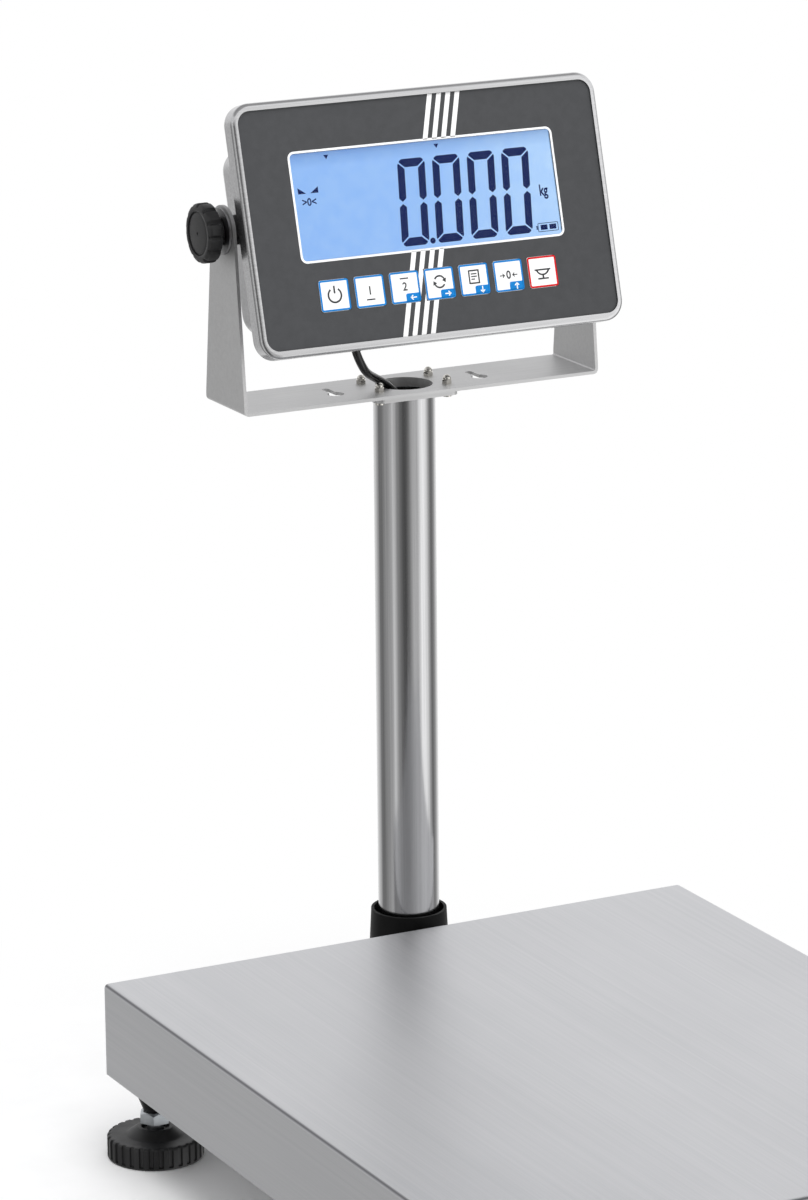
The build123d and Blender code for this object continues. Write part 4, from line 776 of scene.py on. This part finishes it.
class SCALE_OT_face(bpy.types.Operator):
    """Print the keypad's front: the line round the window and the slanted stripes"""

    bl_idname = "scale.face"
    bl_label = "Keypad print"

    def execute(self, context):
        face, keys = context.scene.scale_face, context.scene.scale_keys
        place = head_frame(face)
        low, high = face.out - face.ink, face.out + face.ink
        line = ring(
            "window_line", face.window_width + face.outline, face.window_height + face.outline,
            4.2 * MM, face.outline, 0, face.window_rise, low, high,
        )
        settle(line, place, "white_screen_ink", "head")
        half_height = 71.2 * MM
        stripes = []
        for number in range(face.stripe_count):
            left = face.stripe_top + number * face.stripe_pitch
            right = left + face.stripe_width
            shift = face.stripe_lean * 2 * half_height
            top, bottom = half_height - face.drop, -half_height - face.drop
            outline = [(left - shift, bottom), (right - shift, bottom), (right, top), (left, top)]
            stripes.append(flat("stripe", outline, low, high))
        stripes = joined("slanted_stripes", stripes)
        cutters = []
        for number in range(7):
            x = (number - 3) * keys.pitch
            outline = box_outline(x, keys.row, keys.width + 0.6 * MM, keys.height + 0.6 * MM)
            cutters.append(flat("cutter", outline, low - MM, high + MM))
        window = box_outline(0, face.window_rise, face.window_width, face.window_height)
        cutters.append(flat("cutter", window, low - MM, high + MM))
        for cutter in cutters:
            only(stripes)
            cut = stripes.modifiers.new("cut", "BOOLEAN")
            cut.object = cutter
            cut.solver = "EXACT"
            bpy.ops.object.modifier_apply(modifier=cut.name)
            bpy.data.objects.remove(cutter)
        settle(stripes, place, "white_screen_ink", "head")
        return {"FINISHED"}


class SCALE_OT_keys(bpy.types.Operator):
    """Print the seven keys: coloured frames, arrow tabs and symbols"""

    bl_idname = "scale.keys"
    bl_label = "Key print"

    def execute(self, context):
        face, keys = context.scene.scale_face, context.scene.scale_keys
        place = head_frame(face)
        low, high = keys.front - face.ink, keys.front + face.ink
        tabs = {3: 180, 4: 0, 5: -90, 6: 90}
        for number in range(1, 8):
            x, y = (number - 4) * keys.pitch, keys.row
            body = f"key_{number}"
            ink = "red_screen_ink" if number == 7 else "blue_screen_ink"
            prints = [ring(
                "frame", keys.width, keys.height, keys.corner, keys.frame_width, x, y, low, high
            )]
            if number in tabs:
                right = x + keys.width / 2 - keys.frame_width * 0.6
                bottom = y - keys.height / 2 + keys.frame_width * 0.6
                left, top = right - keys.tab_width + 0.5 * MM, bottom + keys.tab_height - 0.5 * MM
                outline = [(left, bottom), (right, bottom), (right, top)]
                outline += arc(left + 1.2 * MM, top - 1.2 * MM, 1.2 * MM, 90, 180, 6)
                prints.append(flat("tab", outline, low, high))
                middle_x, middle_y = (left + right) / 2 + 0.3 * MM, (bottom + top) / 2 - 0.2 * MM
                mark = [
                    flat("arrow", outline, high - face.ink, high + face.ink)
                    for outline in arrow(middle_x, middle_y, tabs[number], 4.2 * MM)
                ]
                settle(joined(f"key_{number}_arrow", mark), place, "white_screen_ink", body)
            settle(joined(f"key_{number}_frame", prints), place, ink, body)
            symbol = [
                flat("mark", outline, low, high) for outline in key_symbol(number, x, y)
            ]
            if number in (2, 3, 6):
                text = {2: "1", 3: "2", 6: "0"}[number]
                symbol.append(lettering("figure", text, 7.0 * MM, x, y + 0.2 * MM, low, high, 0.9, 0.14 * MM))
            settle(joined(f"key_{number}_symbol", symbol), place, "grey_screen_ink", body)
        return {"FINISHED"}


def key_symbol(number, x, y):
    """Outlines of a key's sign: power, one, two, turn over, print, zero and empty the bowl."""
    if number == 1:
        stem = box_outline(x, y + 3.4 * MM, 1.1 * MM, 4.6 * MM)
        return [band(x, y, 3.7 * MM, 4.8 * MM, 125, 415, 36), stem]
    if number in (2, 3):
        return [box_outline(x, y - 4.9 * MM if number == 2 else y + 5.3 * MM, 5.6 * MM, 0.8 * MM)]
    if number == 4:
        outlines = []
        for turn in (0, 180):
            outlines.append(band(x, y + 1.0 * MM, 3.0 * MM, 4.0 * MM, turn + 25, turn + 150, 20))
            tip, along = radians(turn + 25), radians(turn - 65)
            base_x, base_y = x + 3.4 * MM * cos(tip), y + 1.0 * MM + 3.4 * MM * sin(tip)
            side = (cos(tip) * 1.5 * MM, sin(tip) * 1.5 * MM)
            point = (base_x + 2.4 * MM * cos(along), base_y + 2.4 * MM * sin(along))
            outlines.append([
                (base_x - side[0], base_y - side[1]), point, (base_x + side[0], base_y + side[1])
            ])
        return outlines
    if number == 5:
        sheet = [
            box_outline(x + a * MM, y + b * MM, w * MM, h * MM)
            for a, b, w, h in (
                (-3.2, 1.6, 0.9, 8.4), (3.2, 1.6, 0.9, 8.4), (0, 5.4, 5.5, 0.9), (0, -2.2, 5.5, 0.9),
                (0, 3.4, 3.8, 0.7), (0, 1.8, 3.8, 0.7), (-0.7, 0.2, 2.4, 0.7),
            )
        ]
        return sheet
    if number == 6:
        outlines = []
        for side, turn in ((-1, 0), (1, 180)):
            outlines += arrow(x + side * 4.2 * MM, y + 0.2 * MM, turn, 3.6 * MM)
        return outlines
    bowl = band(x, y + 2.6 * MM, 3.8 * MM, 4.8 * MM, 200, 340, 20)
    return [
        bowl,
        box_outline(x, y + 1.3 * MM, 10.8 * MM, 0.95 * MM),
        box_outline(x, y - 4.1 * MM, 7.2 * MM, 0.95 * MM),
        box_outline(x, y - 2.9 * MM, 1.1 * MM, 1.6 * MM),
    ]


class SCALE_OT_readout(bpy.types.Operator):
    """Make the display's switched-on segments and marks"""

    bl_idname = "scale.readout"
    bl_label = "Readout"

    def execute(self, context):
        face, readout = context.scene.scale_face, context.scene.scale_readout
        place = head_frame(face)
        low, high = readout.depth - 0.02 * MM, readout.depth + 0.08 * MM
        tall = readout.height / MM
        top_bar = [
            (-6.4, 0), (6.4, 0), (7.9, -1.0), (8.1, -1.9),
            (4.2, -5.0), (-4.2, -5.0), (-8.1, -1.9), (-7.9, -1.0),
        ]
        left_bar = [
            (-8.7, -2.4), (-4.5, -6.0), (-4.5, -23.4), (-6.9, -25.4), (-9.2, -23.4), (-9.2, -3.4),
        ]
        right_bar = [(-x, y) for x, y in left_bar]
        bars = [top_bar, left_bar, right_bar]
        bars += [[(x, -tall - y) for x, y in bar] for bar in bars]
        segments = []
        for digit in range(4):
            middle = readout.first + digit * readout.pitch
            for bar in bars:
                outline = [
                    (middle + x * MM + (y * MM + readout.height / 2) * readout.lean, readout.top + y * MM)
                    for x, y in bar
                ]
                segments.append(flat("segment", outline, low, high))
        segments.append(flat("point", arc(0.1 * MM, -21.2 * MM, 1.8 * MM, 0, 345, 23), low, high))
        for outline in (
            [(-84.2, 18.2), (-84.2, 14.5), (-79.0, 14.5)],
            [(-70.9, 18.2), (-76.2, 14.5), (-70.9, 14.5)],
            [(-64.5, 36.2), (-61.3, 36.2), (-62.9, 33.6)],
            [(9.0, 36.2), (12.2, 36.2), (10.6, 33.6)],
        ):
            segments.append(flat("mark", [(x * MM, y * MM) for x, y in outline], low, high))
        battery_x, battery_y = 78.6 * MM, -20.45 * MM
        for x in (75.8, 81.8):
            segments.append(flat("cell", box_outline(x * MM, battery_y, 4.6 * MM, 3.1 * MM), low, high))
        segments.append(flat("nub", box_outline(71.0 * MM, battery_y, 0.8 * MM, 2.4 * MM), low, high))
        segments.append(ring(
            "battery", 14.0 * MM, 5.4 * MM, 0.8 * MM, 0.4 * MM, battery_x, battery_y, low, high
        ))
        segments.append(lettering("zero", ">0<", 6.4 * MM, -77.6 * MM, 9.2 * MM, low, high, 0.9, 0.13 * MM))
        segments.append(lettering("unit", "kg", 9.4 * MM, 78.6 * MM, 1.6 * MM, low, high, 0.68, 0.22 * MM))
        settle(joined("display_segments", segments), place, "dark_liquid_crystal", "head")
        return {"FINISHED"}


CABLE_DIAMETER = 5.2 * MM


class SCALE_OT_cable(bpy.types.Operator):
    """Lay the free cable between the head and the column"""

    bl_idname = "scale.cable"
    bl_label = "Cable"

    def execute(self, context):
        low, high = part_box("column_tube")
        column = Vector(((low.x + high.x) / 2, (low.y + high.y) / 2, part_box("head_bracket")[0].z + 2.0 * MM))
        route = [column + Vector(point) * MM for point in (
            (-46.5, -24.0, 40.3), (-46.5, -25.4, 35.0), (-44.7, -25.6, 27.9), (-40.7, -23.8, 20.6),
            (-35.0, -19.0, 14.2), (-27.0, -11.0, 9.5), (-15.5, -4.4, 2.9), (-5.0, -1.5, -6.0),
            (0.0, 0.0, -18.0), (0.0, 0.0, -30.0),
        )]
        curve = bpy.data.curves.new("cable_line", "CURVE")
        curve.dimensions = "3D"
        spline = curve.splines.new("NURBS")
        spline.points.add(len(route) - 1)
        for point, at in zip(spline.points, route):
            point.co = (*at, 1)
        spline.order_u = 3
        spline.use_endpoint_u = True
        spline.resolution_u = 12
        guide = bpy.data.objects.new("cable_line", curve)
        context.scene.collection.objects.link(guide)
        line = bpy.data.meshes.new_from_object(guide)
        curve.bevel_depth = CABLE_DIAMETER / 2
        curve.bevel_resolution = 8
        curve.use_fill_caps = True
        only(guide)
        bpy.ops.object.convert(target="MESH")
        cable = bpy.context.object
        cable.name = "display_cable"
        bpy.ops.object.shade_smooth_by_angle(angle=radians(40))
        cable.data.materials.clear()
        cable.data.materials.append(bpy.data.materials["extruded_pvc_jacket"])
        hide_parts("cable_loop")
        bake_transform(cable)
        return {"FINISHED"}


# ----------------------------------------------------------------------- stage
class SCALE_OT_stage(bpy.types.Operator):
    """Set up the floor, the lights and the camera"""

    bl_idname = "scale.stage"
    bl_label = "Studio"

    def execute(self, context):
        studio = context.scene.scale_studio
        context.scene.view_settings.view_transform = "Standard"
        floor = primitive("plane", "studio_floor", size=9.0, location=(0, 0, -0.0003))
        bpy.ops.object.transform_apply(location=True, rotation=True, scale=True)
        floor.data.materials.append(floor_paper())
        floor.visible_glossy = False

        heading, down, roll = studio.heading, studio.down, studio.roll
        ahead = Vector((sin(heading) * cos(down), cos(heading) * cos(down), -sin(down)))
        right = Vector((cos(heading), -sin(heading), 0))
        up = right.cross(ahead)
        turned_right = cos(roll) * right + sin(roll) * up
        turned_up = -sin(roll) * right + cos(roll) * up
        camera = bpy.data.objects.new("studio_camera", bpy.data.cameras.new("studio_camera"))
        context.scene.collection.objects.link(camera)
        camera.data.sensor_fit = "VERTICAL"
        camera.data.sensor_height = 36.0
        camera.data.sensor_width = 36.0
        camera.data.lens = studio.lens
        camera.data.clip_end = 50.0
        rows = Matrix((turned_right, turned_up, -ahead)).transposed()
        foot = sum(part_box("column_tube"), Vector()) / 2
        place = Vector((foot.x, foot.y, 0)) + Vector(studio.place)
        camera.matrix_world = Matrix.Translation(place) @ rows.to_4x4()
        context.scene.camera = camera

        for name, at, aim, size, power in (
            ("overhead_softbox", (-0.3, -0.5, 2.4), (0, 0, 0), 1.8, 38),
            ("front_softbox", (-2.2, -2.4, 1.6), (0, 0, 0.3), 1.4, 10),
        ):
            lamp = bpy.data.lights.new(name, "AREA")
            lamp.size = size
            lamp.energy = power
            light = bpy.data.objects.new(name, lamp)
            context.scene.collection.objects.link(light)
            towards = Vector(aim) - Vector(at)
            aimed = towards.to_track_quat("-Z", "Y").to_matrix().to_4x4()
            light.matrix_world = Matrix.Translation(at) @ aimed
            light.visible_glossy = False
        studio_world(context.scene, right, Vector((sin(heading), cos(heading), 0)))
        return {"FINISHED"}


def floor_paper():
    """Pale paper under the scale, which fades into an evenly lit white round it."""
    paper, shader = finish("pale_studio_floor", {"Roughness": 0.9})
    mottle = stretched(paper, (40, 40, 40))
    shades = ramp(paper, mottle.outputs["Fac"], [(0.3, linear("#F6F6F6")), (0.7, linear("#FAFAFA"))])
    link(paper, shades.outputs["Color"], shader, "Base Color")
    place = add(paper, "ShaderNodeTexCoord")
    reach = add(paper, "ShaderNodeVectorMath", {"operation": "LENGTH"}, {0: place.outputs["Object"]})
    away = add(
        paper, "ShaderNodeMapRange",
        {"From Min": 0.30, "From Max": 0.62, "interpolation_type": "SMOOTHSTEP"},
        {"Value": reach.outputs["Value"]},
    )
    lit = add(paper, "ShaderNodeEmission", {"Color": (1, 1, 1, 1), "Strength": 1.0})
    mixed = add(
        paper, "ShaderNodeMixShader", {},
        {0: away.outputs["Result"], 1: shader.outputs[0], 2: lit.outputs[0]},
    )
    output = paper.node_tree.nodes["Material Output"]
    paper.node_tree.links.new(mixed.outputs[0], output.inputs["Surface"])
    return paper


# What polished steel sees round the studio: brightness at angles from the camera,
# in degrees to the right.
SURROUNDINGS = (
    (-180, 0.95), (-157, 0.95), (-140, 0.80), (-126, 0.60), (-114, 0.26), (-100, 0.23), (-78, 0.42),
    (-60, 0.55), (-53, 0.62), (-46, 1.05), (-40, 0.72), (-30, 0.40), (-15, 0.20), (-4, 0.10), (4, 0.12),
    (15, 0.28), (31, 0.72), (42, 0.62), (50, 0.80), (58, 1.45), (74, 1.45), (84, 1.20), (94, 0.66),
    (108, 0.21), (120, 0.26), (134, 0.50), (150, 0.95), (180, 0.95),
)


def studio_world(scene, right, ahead):
    """Surroundings of soft panels round the scale, pale above, and plain white for the camera."""
    world = bpy.data.worlds.new("studio_surroundings")
    world.use_nodes = True
    tree = world.node_tree
    scene.world = world
    tree.nodes.clear()
    place = add(world, "ShaderNodeTexCoord")
    direction = place.outputs["Generated"]
    sideways = add(
        world, "ShaderNodeVectorMath", {"operation": "DOT_PRODUCT", 1: right}, {0: direction}
    )
    back = add(
        world, "ShaderNodeVectorMath", {"operation": "DOT_PRODUCT", 1: -ahead}, {0: direction}
    )
    angle = calc(world, "ARCTAN2", sideways.outputs["Value"], back.outputs["Value"])
    turn = spread(world, angle, 0.0, 1.0, -pi, pi)
    panels = ramp(
        world, turn.outputs["Result"],
        [((degrees + 180) / 360, (shade, shade, shade, 1)) for degrees, shade in SURROUNDINGS],
    )
    heights = add(world, "ShaderNodeSeparateXYZ", {}, {"Vector": direction})
    # On the camera's side the panels stand higher than behind the scale.
    tops = spread(world, back.outputs["Value"], 0.0, -0.4, -0.2, 0.8)
    level = calc(world, "ADD", heights.outputs["Z"], tops.outputs["Result"])
    above = spread(world, level, 0.0, 1.0, -0.02, 0.16)
    # Straight above, the room gets darker.
    ceiling = spread(world, heights.outputs["Z"], 1.0, 0.42, 0.62, 0.80)
    side = spread(world, sideways.outputs["Value"], 0.0, 1.0, -1.0, 1.0)
    pale = ramp(world, side.outputs["Result"], [(0.2, (0.86, 0.86, 0.87, 1)), (0.8, (1.10, 1.10, 1.11, 1))])
    sky = add(
        world, "ShaderNodeVectorMath", {"operation": "SCALE"},
        {0: pale.outputs["Color"], "Scale": ceiling.outputs["Result"]},
    )
    seen = add(
        world, "ShaderNodeMix", {"data_type": "RGBA"},
        {0: above.outputs["Result"], 6: panels.outputs["Color"], 7: sky.outputs["Vector"]},
    )
    around = add(world, "ShaderNodeBackground", {"Strength": 1.0}, {"Color": seen.outputs[2]})
    white = add(world, "ShaderNodeBackground", {"Color": (1, 1, 1, 1), "Strength": 1.0})
    rays = add(world, "ShaderNodeLightPath")
    mixed = add(
        world, "ShaderNodeMixShader", {},
        {0: rays.outputs["Is Camera Ray"], 1: around.outputs[0], 2: white.outputs[0]},
    )
    add(world, "ShaderNodeOutputWorld", {}, {"Surface": mixed.outputs[0]})


OPERATORS = (
    SCALE_OT_finishes,
    SCALE_OT_stage,
    SCALE_OT_feet,
    SCALE_OT_knobs,
    SCALE_OT_face,
    SCALE_OT_keys,
    SCALE_OT_readout,
    SCALE_OT_cable,
)


class SCALE_PT_panel(bpy.types.Panel):
    """Sizes and steps of the bench scale"""

    bl_label = "Bench scale"
    bl_idname = "SCALE_PT_panel"
    bl_space_type = "VIEW_3D"
    bl_region_type = "UI"
    bl_category = "Bench scale"

    def draw(self, context):
        for group in GROUPS:
            box = self.layout.box()
            settings = getattr(context.scene, group)
            for name in settings.__annotations__:
                box.prop(settings, name)
        for operator in OPERATORS:
            self.layout.operator(operator.bl_idname)


CLASSES = (*GROUPS.values(), *OPERATORS, SCALE_PT_panel)


def register():
    for cls in CLASSES:
        bpy.utils.register_class(cls)
    for name, group in GROUPS.items():
        setattr(bpy.types.Scene, name, bpy.props.PointerProperty(type=group))


def unregister():
    for name in GROUPS:
        delattr(bpy.types.Scene, name)
    for cls in reversed(CLASSES):
        bpy.utils.unregister_class(cls)


def main():
    register()
    for operator in OPERATORS:
        category, name = operator.bl_idname.split(".")
        getattr(getattr(bpy.ops, category), name)()


if __name__ == "__main__":
    main()
